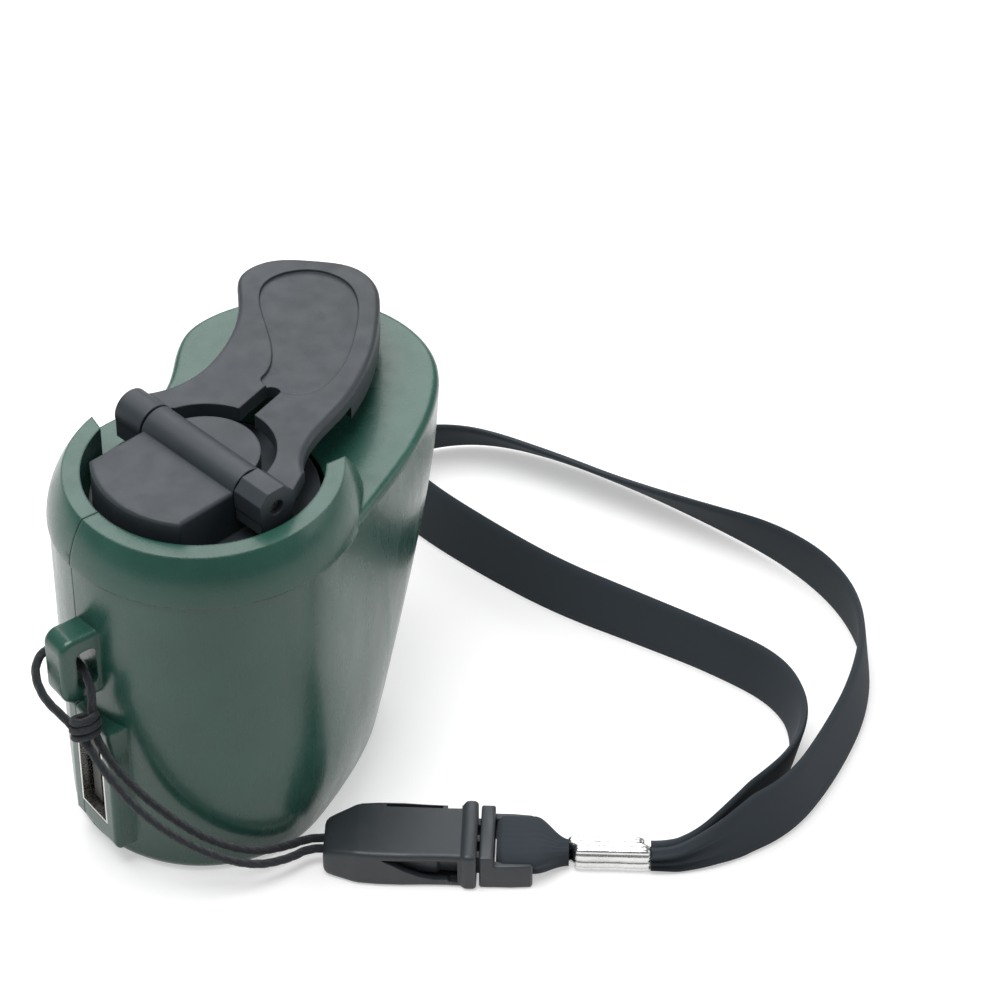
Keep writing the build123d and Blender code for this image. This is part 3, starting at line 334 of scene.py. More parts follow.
def moulded_plastic(name, dark, light, roughness, grain, edge=0.00025, specular=0.5, coat=0.0):
    """Moulded plastic with cloudy colour, uneven gloss, fine grain and softened edges."""
    material, tree, shader = new_material(name)
    where = place(tree)
    clouds = noise(tree, where, CLOUDS, 4.0)
    smear = noise(tree, place(tree, SMEAR_STRETCH), SMEARS)
    tree.links.new(blend_colours(tree, span(tree, clouds, 0.0, 1.0, 0.35, 0.75), dark, light),
                   shader.inputs["Base Color"])
    tree.links.new(span(tree, smear, roughness - 0.05, roughness + 0.07), shader.inputs["Roughness"])
    shader.inputs["Specular IOR Level"].default_value = specular
    shader.inputs["Coat Weight"].default_value = coat
    shader.inputs["Coat Roughness"].default_value = 0.12
    ripple = bump(tree, shader, noise(tree, where, RIPPLES, 2.0), RIPPLE_DEPTH, 0.5, soft_edges(tree, edge))
    bump(tree, shader, noise(tree, where, GRAINS, 2.0), grain, 1.0, ripple)
    return material


def plain_metal(name, colour, roughness, brushed=(1.0, 1.0, 1.0), edge=0.0001):
    """Metal with fine scratches along one direction and uneven roughness."""
    material, tree, shader = new_material(name)
    scratches = noise(tree, place(tree, brushed), SCRATCHES, 2.0)
    stain = noise(tree, place(tree), STAINS)
    tree.links.new(blend_colours(tree, span(tree, stain, 0.0, 1.0), lighter(colour, 0.82), colour),
                   shader.inputs["Base Color"])
    shader.inputs["Metallic"].default_value = 1.0
    tree.links.new(span(tree, scratches, roughness - 0.06, roughness + 0.1), shader.inputs["Roughness"])
    bump(tree, shader, scratches, SCRATCH_DEPTH, 1.0, soft_edges(tree, edge))
    return material


def board_laminate(name):
    """Solder mask with traces showing through."""
    material, tree, shader = new_material(name)
    cells = tree.nodes.new("ShaderNodeTexBrick")
    cells.inputs["Scale"].default_value = TRACES
    cells.inputs["Color1"].default_value = (0.014, 0.105, 0.045, 1)
    cells.inputs["Color2"].default_value = (0.020, 0.135, 0.060, 1)
    cells.inputs["Mortar"].default_value = (0.045, 0.210, 0.090, 1)
    cells.inputs["Mortar Size"].default_value = 0.03
    tree.links.new(place(tree), cells.inputs["Vector"])
    tree.links.new(cells.outputs["Color"], shader.inputs["Base Color"])
    tree.links.new(span(tree, noise(tree, place(tree), 800.0), 0.28, 0.42), shader.inputs["Roughness"])
    bump(tree, shader, cells.outputs["Fac"], TRACE_DEPTH, 0.6)
    return material


def wave(tree, vector, per_metre, direction, distortion=0.0):
    node = tree.nodes.new("ShaderNodeTexWave")
    node.wave_type = "BANDS"
    node.bands_direction = direction
    node.wave_profile = "SIN"
    node.inputs["Scale"].default_value = per_metre
    node.inputs["Distortion"].default_value = distortion
    node.inputs["Detail"].default_value = 0.0
    tree.links.new(vector, node.inputs["Vector"])
    return node.outputs["Fac"]


def combine(tree, operation, a, b):
    """The result of a mathematical operation on two values."""
    node = tree.nodes.new("ShaderNodeMath")
    node.operation = operation
    tree.links.new(a, node.inputs[0])
    tree.links.new(b, node.inputs[1])
    return node.outputs["Value"]


def woven_webbing(name, colour):
    """Plain-woven polyester webbing: ribs across and yarns along, on the piece's own UV in metres. Its colour
    carries painted shade, darker in the weave's hollows and paler on its ridges, and random patches of tone.
    """
    material, tree, shader = new_material(name)
    uv = tree.nodes.new("ShaderNodeUVMap")
    uv.uv_map = "cloth"
    where = uv.outputs["UV"]
    ribs = wave(tree, where, RIBS, "X")
    yarns = wave(tree, where, YARNS, "Y")
    weave = combine(tree, "MULTIPLY", ribs, yarns)
    fuzz = noise(tree, where, CLOTH_FUZZ)
    patches = noise(tree, where, CLOTH_PATCHES)
    # painted shade: the colour follows the weave's bump height, darker in its hollows and paler on its
    # ridges; the patches are random tone
    painted_shade_and_tone = combine(tree, "MULTIPLY", span(tree, weave, 0.55, 1.0, 0.0, 1.0),
                    span(tree, patches, 0.75, 1.0))
    tree.links.new(blend_colours(tree, painted_shade_and_tone, lighter(colour, 0.55), lighter(colour, 1.45)),
                   shader.inputs["Base Color"])
    tree.links.new(span(tree, fuzz, 0.72, 0.92), shader.inputs["Roughness"])
    shader.inputs["Specular IOR Level"].default_value = 0.3
    shader.inputs["Sheen Weight"].default_value = 0.25
    shader.inputs["Sheen Roughness"].default_value = 0.4
    under = bump(tree, shader, weave, WEAVE_DEPTH, 0.9)
    bump(tree, shader, fuzz, FUZZ_DEPTH, 0.7, under)
    return material


def twisted_cord(name, colour):
    """Fine fibres along the cord's strands, with painted shade: the colour is darker in the hollows of the
    fibres and fuzz, and paler on their ridges.
    """
    material, tree, shader = new_material(name)
    uv = tree.nodes.new("ShaderNodeUVMap")
    uv.uv_map = "cloth"
    fibres = wave(tree, uv.outputs["UV"], FIBRES, "Y", 1.5)
    fuzz = noise(tree, place(tree), CORD_FUZZ)
    # painted shade: the colour follows the bump height of the fibres and fuzz, darker in their hollows and
    # paler on their ridges
    painted_shade_and_tone = combine(tree, "MULTIPLY", fibres, fuzz)
    tree.links.new(blend_colours(tree, painted_shade_and_tone, lighter(colour, 0.6), lighter(colour, 1.5)),
                   shader.inputs["Base Color"])
    tree.links.new(span(tree, fuzz, 0.6, 0.85), shader.inputs["Roughness"])
    shader.inputs["Sheen Weight"].default_value = 0.2
    shader.inputs["Sheen Roughness"].default_value = 0.4
    under = bump(tree, shader, fibres, FIBRE_DEPTH, 0.8)
    bump(tree, shader, fuzz, FUZZ_DEPTH, 0.6, under)
    return material


# ---------------------------------------------------------------- mesh helpers
def link_mesh(name, mesh, material):
    piece = bpy.data.objects.new(name, mesh)
    bpy.context.scene.collection.objects.link(piece)
    mesh.materials.append(material)
    return piece


def smooth_shade(mesh):
    mesh.polygons.foreach_set("use_smooth", [True] * len(mesh.polygons))


def eased(share):
    """share, from 0 to 1, with a slow start and end."""
    return share * share * (3 - 2 * share)


def clamped(value):
    return min(1.0, max(0.0, value))


def squared_off(angle, power):
    """Reach, at angle, of a rounded square whose sides are 1 from its middle."""
    return (abs(cos(angle)) ** power + abs(sin(angle)) ** power) ** (-1 / power)


def smooth_line(points, order=3, resolution=12):
    """Points along the NURBS curve that has these control points, all in metres."""
    curve = bpy.data.curves.new("route", "CURVE")
    curve.dimensions = "3D"
    spline = curve.splines.new("NURBS")
    spline.points.add(len(points) - 1)
    for control, point in zip(spline.points, points):
        control.co = (*point, 1.0)
    spline.order_u = order
    spline.use_endpoint_u = True
    spline.resolution_u = resolution
    holder = bpy.data.objects.new("route", curve)
    line = bpy.data.meshes.new_from_object(holder)
    found = [v.co.copy() for v in line.vertices]
    bpy.data.objects.remove(holder)
    bpy.data.curves.remove(curve)
    bpy.data.meshes.remove(line)
    return found


def tangents(line):
    found = []
    for i in range(len(line)):
        found.append((line[min(i + 1, len(line) - 1)] - line[max(i - 1, 0)]).normalized())
    return found


def distances(line):
    found = [0.0]
    for a, b in zip(line, line[1:]):
        found.append(found[-1] + (b - a).length)
    return found


def closed_mesh(name, rings, uv=None):
    """Closed mesh over rings of points, with UV in metres from uv(ring, corner) where it is given."""
    work = bmesh.new()
    grid = [[work.verts.new(p) for p in ring] for ring in rings]
    layer = work.loops.layers.uv.new("cloth") if uv else None
    count = len(rings[0])
    for i in range(len(rings) - 1):
        for j in range(count):
            k = (j + 1) % count
            face = work.faces.new((grid[i][j], grid[i][k], grid[i + 1][k], grid[i + 1][j]))
            if uv:
                for loop, (a, b) in zip(face.loops, ((i, j), (i, j + 1), (i + 1, j + 1), (i + 1, j))):
                    loop[layer].uv = uv(a, b)
    work.faces.new(reversed(grid[0]))
    work.faces.new(grid[-1])
    bmesh.ops.recalc_face_normals(work, faces=work.faces)
    mesh = bpy.data.meshes.new(name)
    work.to_mesh(mesh)
    work.free()
    return mesh


def skin(name, rings, material, uv=None):
    """A smooth piece over rings of points."""
    mesh = closed_mesh(name, rings, uv)
    smooth_shade(mesh)
    return link_mesh(name, mesh, material)


def steady_frames(line):
    """A side and an up vector at each point of line, turning as little as they can."""
    along = tangents(line)
    side = along[0].orthogonal().normalized()
    found = []
    for direction in along:
        side = (side - direction * side.dot(direction)).normalized()
        found.append((side, direction.cross(side)))
    return found


def repaint(node, material):
    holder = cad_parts[node]
    holder.data.materials.clear()
    holder.data.materials.append(material)


# ---------------------------------------------------------------- operators
class BuildStage(bpy.types.Operator):
    """Make the floor, the soft lights and the camera"""
    bl_idname = "generator.build_stage"
    bl_label = "Stage and camera"

    def execute(self, context):
        settings = context.scene.generator_stage
        scene = context.scene
        scene.view_settings.view_transform = "Standard"

        camera_data = bpy.data.cameras.new("photo_camera")
        camera_data.lens = CAMERA_LENS
        camera_data.sensor_width = CAMERA_SENSOR
        camera_data.clip_start = CAMERA_NEAR
        camera = bpy.data.objects.new("photo_camera", camera_data)
        level = cos(CAMERA_ELEVATION)
        back = Vector((sin(CAMERA_AZIMUTH) * level, -cos(CAMERA_AZIMUTH) * level, sin(CAMERA_ELEVATION)))
        camera.location = CAMERA_PLACE
        camera.rotation_mode = "QUATERNION"
        camera.rotation_quaternion = (-back).to_track_quat("-Z", "Y")
        scene.collection.objects.link(camera)
        scene.camera = camera

        mesh = bpy.data.meshes.new("floor")
        corners = ((-1, -1), (1, -1), (1, 1), (-1, 1))
        mesh.from_pydata([(x * FLOOR_HALF, y * FLOOR_HALF, 0) for x, y in corners], [], [(0, 1, 2, 3)])
        material, tree, shader = new_material("pale_floor")
        tone = span(tree, noise(tree, place(tree), FLOOR_PATCHES), 0.0, 1.0)
        tree.links.new(blend_colours(tree, tone, *FLOOR_TONES), shader.inputs["Base Color"])
        shader.inputs["Roughness"].default_value = FLOOR_ROUGHNESS
        floor = link_mesh("floor", mesh, material)
        self.whiten(tree, shader)

        self.add_light(*KEY_LIGHT, settings.key_power)
        self.add_light(*SIDE_LIGHT, settings.fill_power)
        self.add_light(*BACK_LIGHT, BACK_LIGHT_SHARE * settings.fill_power)

        world = bpy.data.worlds.new("soft_sky")
        world.use_nodes = True
        backdrop = world.node_tree.nodes["Background"]
        backdrop.inputs["Color"].default_value = (1, 1, 1, 1)
        backdrop.inputs["Strength"].default_value = settings.sky
        self.white_world(world.node_tree, backdrop)
        scene.world = world
        return {"FINISHED"}

    def whiten(self, tree, shader):
        """The floor shows white to the camera, and in reflections, under the object's shadow."""
        rays = tree.nodes.new("ShaderNodeLightPath")
        glow = tree.nodes.new("ShaderNodeEmission")
        glow.inputs["Strength"].default_value = FLOOR_GLOW
        seen = combine(tree, "MAXIMUM", rays.outputs["Is Camera Ray"], rays.outputs["Is Glossy Ray"])
        seen = combine(tree, "MAXIMUM", seen, rays.outputs["Is Transmission Ray"])
        shown = tree.nodes.new("ShaderNodeAddShader")
        tree.links.new(shader.outputs["BSDF"], shown.inputs[0])
        tree.links.new(glow.outputs["Emission"], shown.inputs[1])
        choice = tree.nodes.new("ShaderNodeMixShader")
        tree.links.new(seen, choice.inputs["Fac"])
        tree.links.new(shader.outputs["BSDF"], choice.inputs[1])
        tree.links.new(shown.outputs["Shader"], choice.inputs[2])
        output = next(n for n in tree.nodes if n.type == "OUTPUT_MATERIAL")
        tree.links.new(choice.outputs["Shader"], output.inputs["Surface"])

    def white_world(self, tree, backdrop):
        """The camera sees white past the floor."""
        rays = tree.nodes.new("ShaderNodeLightPath")
        white = tree.nodes.new("ShaderNodeBackground")
        white.inputs["Strength"].default_value = 1.0
        choice = tree.nodes.new("ShaderNodeMixShader")
        tree.links.new(rays.outputs["Is Camera Ray"], choice.inputs["Fac"])
        tree.links.new(backdrop.outputs["Background"], choice.inputs[1])
        tree.links.new(white.outputs["Background"], choice.inputs[2])
        tree.links.new(choice.outputs["Shader"], tree.nodes["World Output"].inputs["Surface"])

    def add_light(self, name, location, size, power):
        data = bpy.data.lights.new(name, "AREA")
        data.shape = "SQUARE"
        data.size = size
        data.energy = power
        light = bpy.data.objects.new(name, data)
        light.location = location
        aim = LIGHT_AIM - Vector(location)
        light.rotation_mode = "QUATERNION"
        light.rotation_quaternion = aim.to_track_quat("-Z", "Y")
        bpy.context.scene.collection.objects.link(light)


class FinishCasing(bpy.types.Operator):
    """Give the two casing halves their glossy green finish, and the screws theirs"""
    bl_idname = "generator.finish_casing"
    bl_label = "Casing"

    def execute(self, context):
        settings = context.scene.generator_case
        green = moulded_plastic("case_green", tuple(settings.green), tuple(settings.green_light),
                                settings.gloss, settings.grain, edge=0.0004, specular=0.42, coat=0.15)
        for node in ("front_shell", "rear_shell"):
            repaint(node, green)
        repaint("case_screws", plain_metal("zinc_steel", (0.56, 0.57, 0.58), roughness=0.32))
        return {"FINISHED"}


class FinishCrank(bpy.types.Operator):
    """Give the crank drum, the handle and their pin a satin finish"""
    bl_idname = "generator.finish_crank"
    bl_label = "Crank and handle"

    def execute(self, context):
        settings = context.scene.generator_crank
        charcoal = tuple(settings.charcoal)
        satin = moulded_plastic("crank_charcoal", charcoal, lighter(charcoal, 1.35),
                                settings.sheen_roughness, grain=0.000010, edge=0.0003, specular=0.45)
        repaint("crank_drum", satin)
        repaint("crank_handle", satin)
        repaint("hinge_pin", plain_metal("pin_steel", (0.42, 0.43, 0.45), roughness=0.3, brushed=(1, 1, 0.1)))
        return {"FINISHED"}


class FinishGears(bpy.types.Operator):
    """Finish the spindle, gears, bushes and carrier plates"""
    bl_idname = "generator.finish_gears"
    bl_label = "Gear train"

    def execute(self, context):
        acetal = moulded_plastic("gear_white", (0.66, 0.65, 0.58), (0.74, 0.73, 0.68), roughness=0.4,
                                 grain=0.000008, edge=0.0001)
        brass = plain_metal("gear_brass", (0.72, 0.53, 0.24), roughness=0.28)
        steel = plain_metal("ground_steel", (0.60, 0.61, 0.62), roughness=0.22, brushed=(1, 1, 0.05))
        sheet = plain_metal("plate_steel", (0.52, 0.53, 0.53), roughness=0.36, brushed=(0.08, 1, 1))
        for node in ("drive_gear", "first_idler_gear", "second_idler_gear"):
            repaint(node, acetal)
        for node in ("rotor_pinion", "spindle_bushes"):
            repaint(node, brass)
        for node in ("drive_spindle", "spindle_clip", "rotor_shaft", "idler_axles"):
            repaint(node, steel)
        for node in ("bearing_plate", "carrier_plate", "motor_can"):
            repaint(node, sheet)
        repaint("plate_screws", bpy.data.materials["zinc_steel"])
        repaint("motor_screws", bpy.data.materials["zinc_steel"])
        repaint("motor_cap", moulded_plastic("cap_black", (0.016, 0.016, 0.017), (0.03, 0.03, 0.03),
                                             roughness=0.5, grain=0.00001, edge=0.0001))
        return {"FINISHED"}


class FinishPowerSocket(bpy.types.Operator):
    """Finish the power socket, the circuit board and what is on it"""
    bl_idname = "generator.finish_power_socket"
    bl_label = "Power socket and board"

    def execute(self, context):
        nickel = plain_metal("socket_nickel", (0.60, 0.59, 0.56), roughness=0.26, brushed=(0.1, 1, 1))
        gold = plain_metal("contact_gold", (0.83, 0.62, 0.26), roughness=0.2, brushed=(0.1, 1, 1))
        dark = moulded_plastic("tongue_black", (0.018, 0.017, 0.016), (0.03, 0.029, 0.028), roughness=0.4,
                               grain=0.00001, edge=0.0001)
        black = bpy.data.materials["cap_black"]
        repaint("power_socket_shell", nickel)
        repaint("power_socket_tongue", dark)
        repaint("power_socket_contacts", gold)
        repaint("circuit_board", board_laminate("board_green"))
        for node in ("capacitor", "diodes", "regulator"):
            repaint(node, black)
        repaint("board_screws", bpy.data.materials["zinc_steel"])
        return {"FINISHED"}


# the buckle's female half: place along it, half width, underside, top and corner radius
SOCKET_STATIONS = [
    (0.0, 2.75, 0.55, 3.55, 0.9), (0.15, 3.05, 0.28, 3.85, 0.9), (0.5, 3.28, 0.08, 4.10, 0.85),
    (1.2, 3.55, 0.02, 4.35, 0.8), (3.7, 4.42, 0.0, 5.10, 0.65), (4.4, 4.58, 0.0, 5.20, 0.65),
    (6.5, 4.76, 0.0, 5.22, 0.65), (9.5, 4.80, 0.0, 5.20, 0.65), (12.5, 4.66, 0.0, 5.16, 0.65),
    (15.0, 4.62, 0.0, 5.14, 0.65), (16.7, 4.70, 0.0, 5.16, 0.65), (16.95, 4.95, 0.0, 5.34, 0.6),
    (17.2, 5.12, 0.0, 5.46, 0.6), (17.6, 5.18, 0.0, 5.48, 0.6), (18.2, 5.16, 0.0, 5.46, 0.6),
    (18.5, 5.02, 0.08, 5.34, 0.6), (18.6, 4.86, 0.22, 5.20, 0.6),
]
# outline of the window in each side, along the buckle and up
SIDE_WINDOW = [
    (7.1, 4.35), (16.35, 4.35), (16.35, 0.85), (15.45, 0.85), (15.1, 1.25), (13.4, 1.2), (11.6, 1.75),
    (10.0, 2.55), (8.6, 3.45), (7.6, 4.0),
]
# gap and groove in its far upper edge
EDGE_NOTCH = [(14.7, 3.0), (15.0, 6.5), (16.6, 6.5), (16.6, 3.0)]
EDGE_GROOVE = [(7.4, 4.9), (7.8, 4.5), (14.0, 4.5), (14.3, 4.9), (14.3, 6.0), (7.4, 6.0)]
EDGE_INNER = 3.75           # both come this near to the buckle's middle
GROOVE_OUTER = 4.3
PAST_SIDE = 6.0             # a cutter that comes out of the side ends here
CAVITY_START = 4.4
CAVITY_END = SOCKET_LENGTH + 1
CAVITY_HALF = 3.9
CAVITY_LOW = 0.9
CAVITY_HIGH = 4.3
CAVITY_CORNER = 0.5
WINDOW_INNER = CAVITY_HALF - 0.3
# plans of the male half's base wall, of one of its arms and of one prong
PLUG_BASE = [(18.95, -4.55), (19.15, -4.72), (20.55, -4.72), (20.7, -4.55), (20.7, 4.55), (20.55, 4.72),
             (19.15, 4.72), (18.95, 4.55)]
PLUG_ARM = [(20.2, 3.6), (25.1, 3.6), (25.38, 3.85), (25.38, 4.2), (25.15, 4.5), (22.8, 4.7), (20.2, 4.7)]
PRONG = [
    (19.4, 3.45), (19.4, 2.2), (14.0, 2.15), (10.0, 2.3), (8.2, 1.95), (6.9, 1.75), (6.5, 2.0), (6.5, 2.7),
    (7.6, 3.35), (9.4, 3.5), (13.8, 3.5), (14.2, 3.15), (17.2, 3.2), (17.6, 3.45),
]
GUIDE = [(19.4, -0.6), (19.4, 0.6), (8.4, 0.6), (7.9, 0.3), (7.9, -0.3), (8.4, -0.6)]
# underside, top and softened rim of those plans
BASE_HEIGHTS = (0.1, 5.0, 0.3)
ARM_HEIGHTS = (0.1, 3.7, 0.3)
PRONG_HEIGHTS = (1.25, 3.95, 0.2)
RIM_SHOULDER = 0.3          # share of a softened rim at which its middle edge lies
BAR_PLACE = SOCKET_LENGTH + BLOCK_LENGTH - 0.9
BAR_RADIUS = 0.9
BAR_HALF = 3.9
BAR_CORNERS = 24


def box_ring(u, half_wide, low, high, corner):
    """A rounded rectangle standing across the buckle at u."""
    ring = []
    wide, tall = half_wide - corner, (high - low) / 2 - corner
    middle = (high + low) / 2
    for v, z, first in ((wide, tall, 0), (-wide, tall, 90), (-wide, -tall, 180), (wide, -tall, 270)):
        for k in range(6):
            angle = radians(first + 18 * k)
            ring.append(on_buckle(u, v + corner * cos(angle), middle + z + corner * sin(angle)) * MM)
    return ring


def side_prism(outline, near, far):
    """Prism across the buckle from v near to v far, over an outline of places along and up."""
    return closed_mesh("cutter", [[on_buckle(u, v, z) * MM for u, z in outline] for v in (near, far)])


def plan_prism(outline, low, high, round_by):
    """Prism from height low to high over an outline of places along and across, with softened rims."""
    shoulder = RIM_SHOULDER * round_by
    rings = []
    for z, inset in ((low, round_by), (low + shoulder, shoulder), (low + round_by, 0.0),
                     (high - round_by, 0.0), (high - shoulder, shoulder), (high, round_by)):
        rings.append([on_buckle(*inset_point(outline, i, inset), z) * MM for i in range(len(outline))])
    return closed_mesh("prism", rings)


def inset_point(outline, index, distance):
    """Corner of an outline moved inwards by distance from both of its sides."""
    here = Vector(outline[index])
    before = (here - Vector(outline[index - 1])).normalized()
    after = (Vector(outline[(index + 1) % len(outline)]) - here).normalized()
    turning = signed_area(outline)
    normal = Vector((-(before.y + after.y), before.x + after.x)) * turning
    share = max(0.35, sqrt(max(0.0, (1 + before.dot(after)) / 2)))
    moved = here + normal.normalized() * (distance / share)
    return (moved.x, moved.y)


def mirrored(outline):
    return [(u, -v) for u, v in reversed(outline)]


def signed_area(outline):
    total = sum(a[0] * b[1] - b[0] * a[1] for a, b in zip(outline, outline[1:] + outline[:1]))
    return 1.0 if total > 0 else -1.0


def carve(name, base, cutters, material):
    """The base mesh with every cutter taken out of it."""
    piece = link_mesh(name, base, material)
    helpers = []
    for index, cutter in enumerate(cutters):
        helper = bpy.data.objects.new("cutter" + str(index), cutter)
        bpy.context.scene.collection.objects.link(helper)
        helpers.append(helper)
        cut = piece.modifiers.new("cut" + str(index), "BOOLEAN")
        cut.operation = "DIFFERENCE"
        cut.solver = "EXACT"
        cut.object = helper
    bpy.context.view_layer.update()
    graph = bpy.context.evaluated_depsgraph_get()
    carved = bpy.data.meshes.new_from_object(piece.evaluated_get(graph))
    piece.modifiers.clear()
    piece.data = carved
    for helper in helpers:
        bpy.data.objects.remove(helper)
    shade_by_angle(carved)
    return piece


def shade_by_angle(mesh, angle=34.0):
    smooth_shade(mesh)
    mesh.set_sharp_from_angle(angle=radians(angle))


def merged(name, meshes, material):
    """One piece from several closed meshes."""
    work = bmesh.new()
    for mesh in meshes:
        work.from_mesh(mesh)
        bpy.data.meshes.remove(mesh)
    whole = bpy.data.meshes.new(name)
    work.to_mesh(whole)
    work.free()
    shade_by_angle(whole)
    return link_mesh(name, whole, material)


class BuildBuckle(bpy.types.Operator):
    """Mould the two halves of the side-release buckle"""
    bl_idname = "generator.build_buckle"
    bl_label = "Buckle"

    def execute(self, context):
        colour = tuple(context.scene.generator_lanyard.buckle_colour)
        satin = moulded_plastic("buckle_black", colour, lighter(colour, 1.3), roughness=0.4,
                                grain=0.000012, edge=0.0002, specular=0.45)
        body = closed_mesh("buckle_body", [box_ring(*station) for station in SOCKET_STATIONS])
        cutters = [closed_mesh("cutter", [box_ring(u, CAVITY_HALF, CAVITY_LOW, CAVITY_HIGH, CAVITY_CORNER)
                                          for u in (CAVITY_START, CAVITY_END)])]
        for side in (-1, 1):
            cutters.append(side_prism(SIDE_WINDOW, side * WINDOW_INNER, side * PAST_SIDE))
        cutters.append(side_prism(EDGE_NOTCH, EDGE_INNER, PAST_SIDE))
        cutters.append(side_prism(EDGE_GROOVE, EDGE_INNER, GROOVE_OUTER))
        female = carve("buckle_female_half", body, cutters, satin)
        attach(female, "housing")
        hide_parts("buckle_socket")

        male = merged("buckle_male_half", [
            plan_prism(PLUG_BASE, *BASE_HEIGHTS), plan_prism(PLUG_ARM, *ARM_HEIGHTS),
            plan_prism(mirrored(PLUG_ARM), *ARM_HEIGHTS), plan_prism(PRONG, *PRONG_HEIGHTS),
            plan_prism(mirrored(PRONG), *PRONG_HEIGHTS), plan_prism(GUIDE, *PRONG_HEIGHTS),
            self.bar()], satin)
        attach(male, "buckle_half")
        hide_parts("buckle_plug")
        return {"FINISHED"}

    def bar(self):
        """The round bar that the webbing is folded over."""
        angles = [2 * pi * j / BAR_CORNERS for j in range(BAR_CORNERS)]
        return closed_mesh("bar", [
            [on_buckle(BAR_PLACE + BAR_RADIUS * cos(angle), v,
                       BUCKLE_THICKNESS / 2 + BAR_RADIUS * sin(angle)) * MM for angle in angles]
            for v in (-BAR_HALF, BAR_HALF)])


class BuildCord(bpy.types.Operator):
    """Lay the thin twisted cord through the lug, and tie its hitch"""
    bl_idname = "generator.build_cord"
    bl_label = "Lanyard cord and hitch"

    def execute(self, context):
        settings = context.scene.generator_lanyard
        material = twisted_cord("cord_black", tuple(settings.cord_colour))
        radius = settings.cord_diameter / 2
        line = smooth_line([Vector(p) * MM for p in CORD_ROUTE])
        length = distances(line)
        cord = self.strand_tube("lanyard_cord_lay", line, length, radius, material)
        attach(cord, "housing")
        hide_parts("lanyard_cord")
        hitch = self.hitch(material, radius)
        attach(hitch, "housing")
        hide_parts("cord_hitch")
        return {"FINISHED"}

    def strand_tube(self, name, line, length, radius, material):
        """A tube whose section is three strands, twisted along line."""
        twist = 2 * pi / (TWIST_LENGTH * radius)
        rings = []
        for point, (side, up), far in zip(line, steady_frames(line), length):
            ring = []
            for j in range(CORD_CORNERS):
                angle = 2 * pi * j / CORD_CORNERS
                reach = radius * (1 - STRAND_DEPTH + STRAND_DEPTH * abs(sin(1.5 * angle)) ** 0.6)
                turned = angle + twist * far
                ring.append(point + (side * cos(turned) + up * sin(turned)) * reach)
            rings.append(ring)
        return skin(name, rings, material,
                    uv=lambda i, j: (length[i], 2 * pi * radius * j / CORD_CORNERS))

    def hitch(self, material, radius):
        """The cord wound round the two strands, in one helix of touching turns that swells in its middle."""
        wide = Vector((1.0, 0.0, -0.1))
        wide = (wide - HITCH_DOWN * wide.dot(HITCH_DOWN)).normalized()
        deep = HITCH_DOWN.cross(wide)
        steps = HITCH_STEPS * HITCH_TURNS
        line = []
        for i in range(steps + 1):
            share = i / steps
            angle = 2 * pi * HITCH_TURNS * share
            swell = 1.0 + HITCH_SWELL * sin(pi * share)
            line.append((HITCH_TOP + HITCH_DOWN * (HITCH_DROP * share)
                         + wide * (cos(angle) * HITCH_HALF_WIDTH * swell)
                         + deep * (sin(angle) * HITCH_HALF_DEPTH * swell)) * MM)
        return self.strand_tube("cord_hitch_turns", line, distances(line), radius * HITCH_CORD_SHARE,
                                material)


def webbing_material():
    found = bpy.data.materials.get("strap_fabric")
    return found or woven_webbing("strap_fabric", tuple(bpy.context.scene.generator_lanyard.strap_colour))


class BuildStrap(bpy.types.Operator):
    """Lay the woven wrist strap out of the ferrule and back into it"""
    bl_idname = "generator.build_strap"
    bl_label = "Wrist strap"

    def execute(self, context):
        settings = context.scene.generator_lanyard
        width, thickness = settings.strap_width, settings.strap_thickness
        plan = smooth_line([Vector((x, y, lean)) * MM for (x, y), lean in STRAP_ROUTE])
        ground = [Vector((p.x, p.y, 0.0)) for p in plan]
        length = distances(ground)
        total = length[-1]
        along = tangents(ground)
        rings, centres = [], []
        for i, (foot, direction) in enumerate(zip(ground, along)):
            lean = radians(plan[i].z / MM)
            inward = Vector((direction.y, -direction.x, 0.0))
            rise = UP * cos(lean) + inward * sin(lean)
            out = direction.cross(rise)
            spread = eased(min(1.0, min(length[i], total - length[i]) / (GATHER_LENGTH * MM)))
            tall = GATHERED_HEIGHT * MM + (width - GATHERED_HEIGHT * MM) * spread
            low = (FERRULE_MIDDLE * MM - tall / 2) * (1 - spread) + STRAP_FOOT * MM * spread
            thick = thickness * (1 + GATHER_THICKENING * (1 - spread))
            centre = foot + rise * (low + tall / 2) + UP * (LEAN_LIFT * thick * abs(sin(lean)))
            ring = self.section(centre, rise, out, tall, thick, 1 - spread)
            lift = UP * max(0.0, FLOOR_GAP * MM - min(p.z for p in ring))
            centres.append(centre + lift)
            rings.append([p + lift for p in ring])
        count = len(rings[0])
        half = count / 2
        strap = skin("wrist_strap", rings, webbing_material(),
                     uv=lambda i, j: (length[i], width * (j / half if j <= half else 2 - j / half)))
        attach(strap, "buckle_half")
        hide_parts("strap_webbing")
        return {"FINISHED"}

    def section(self, centre, rise, out, tall, thick, pleat):
        """Closed ring of a strap section: two faces, with folds where it is gathered, and round edges."""
        ring = []
        for face in (1, -1):
            for k in range(STRAP_EDGE_POINTS + 1):
                height = (k / STRAP_EDGE_POINTS - 0.5) * face
                from_middle = abs(2 * height)
                round_off = sqrt(max(0.0, 1 - from_middle ** 8))
                edge_share = max(0.0, (from_middle - SELVEDGE_START) / (1 - SELVEDGE_START))
                selvedge = 1.0 + SELVEDGE_SWELL * edge_share * (from_middle < 0.99)
                fold = 0.35 * pleat * sin(2 * pi * 3 * height)
                ring.append(centre + rise * (height * tall)
                            + out * (thick * (0.5 * face * round_off * selvedge + fold)))
        return ring


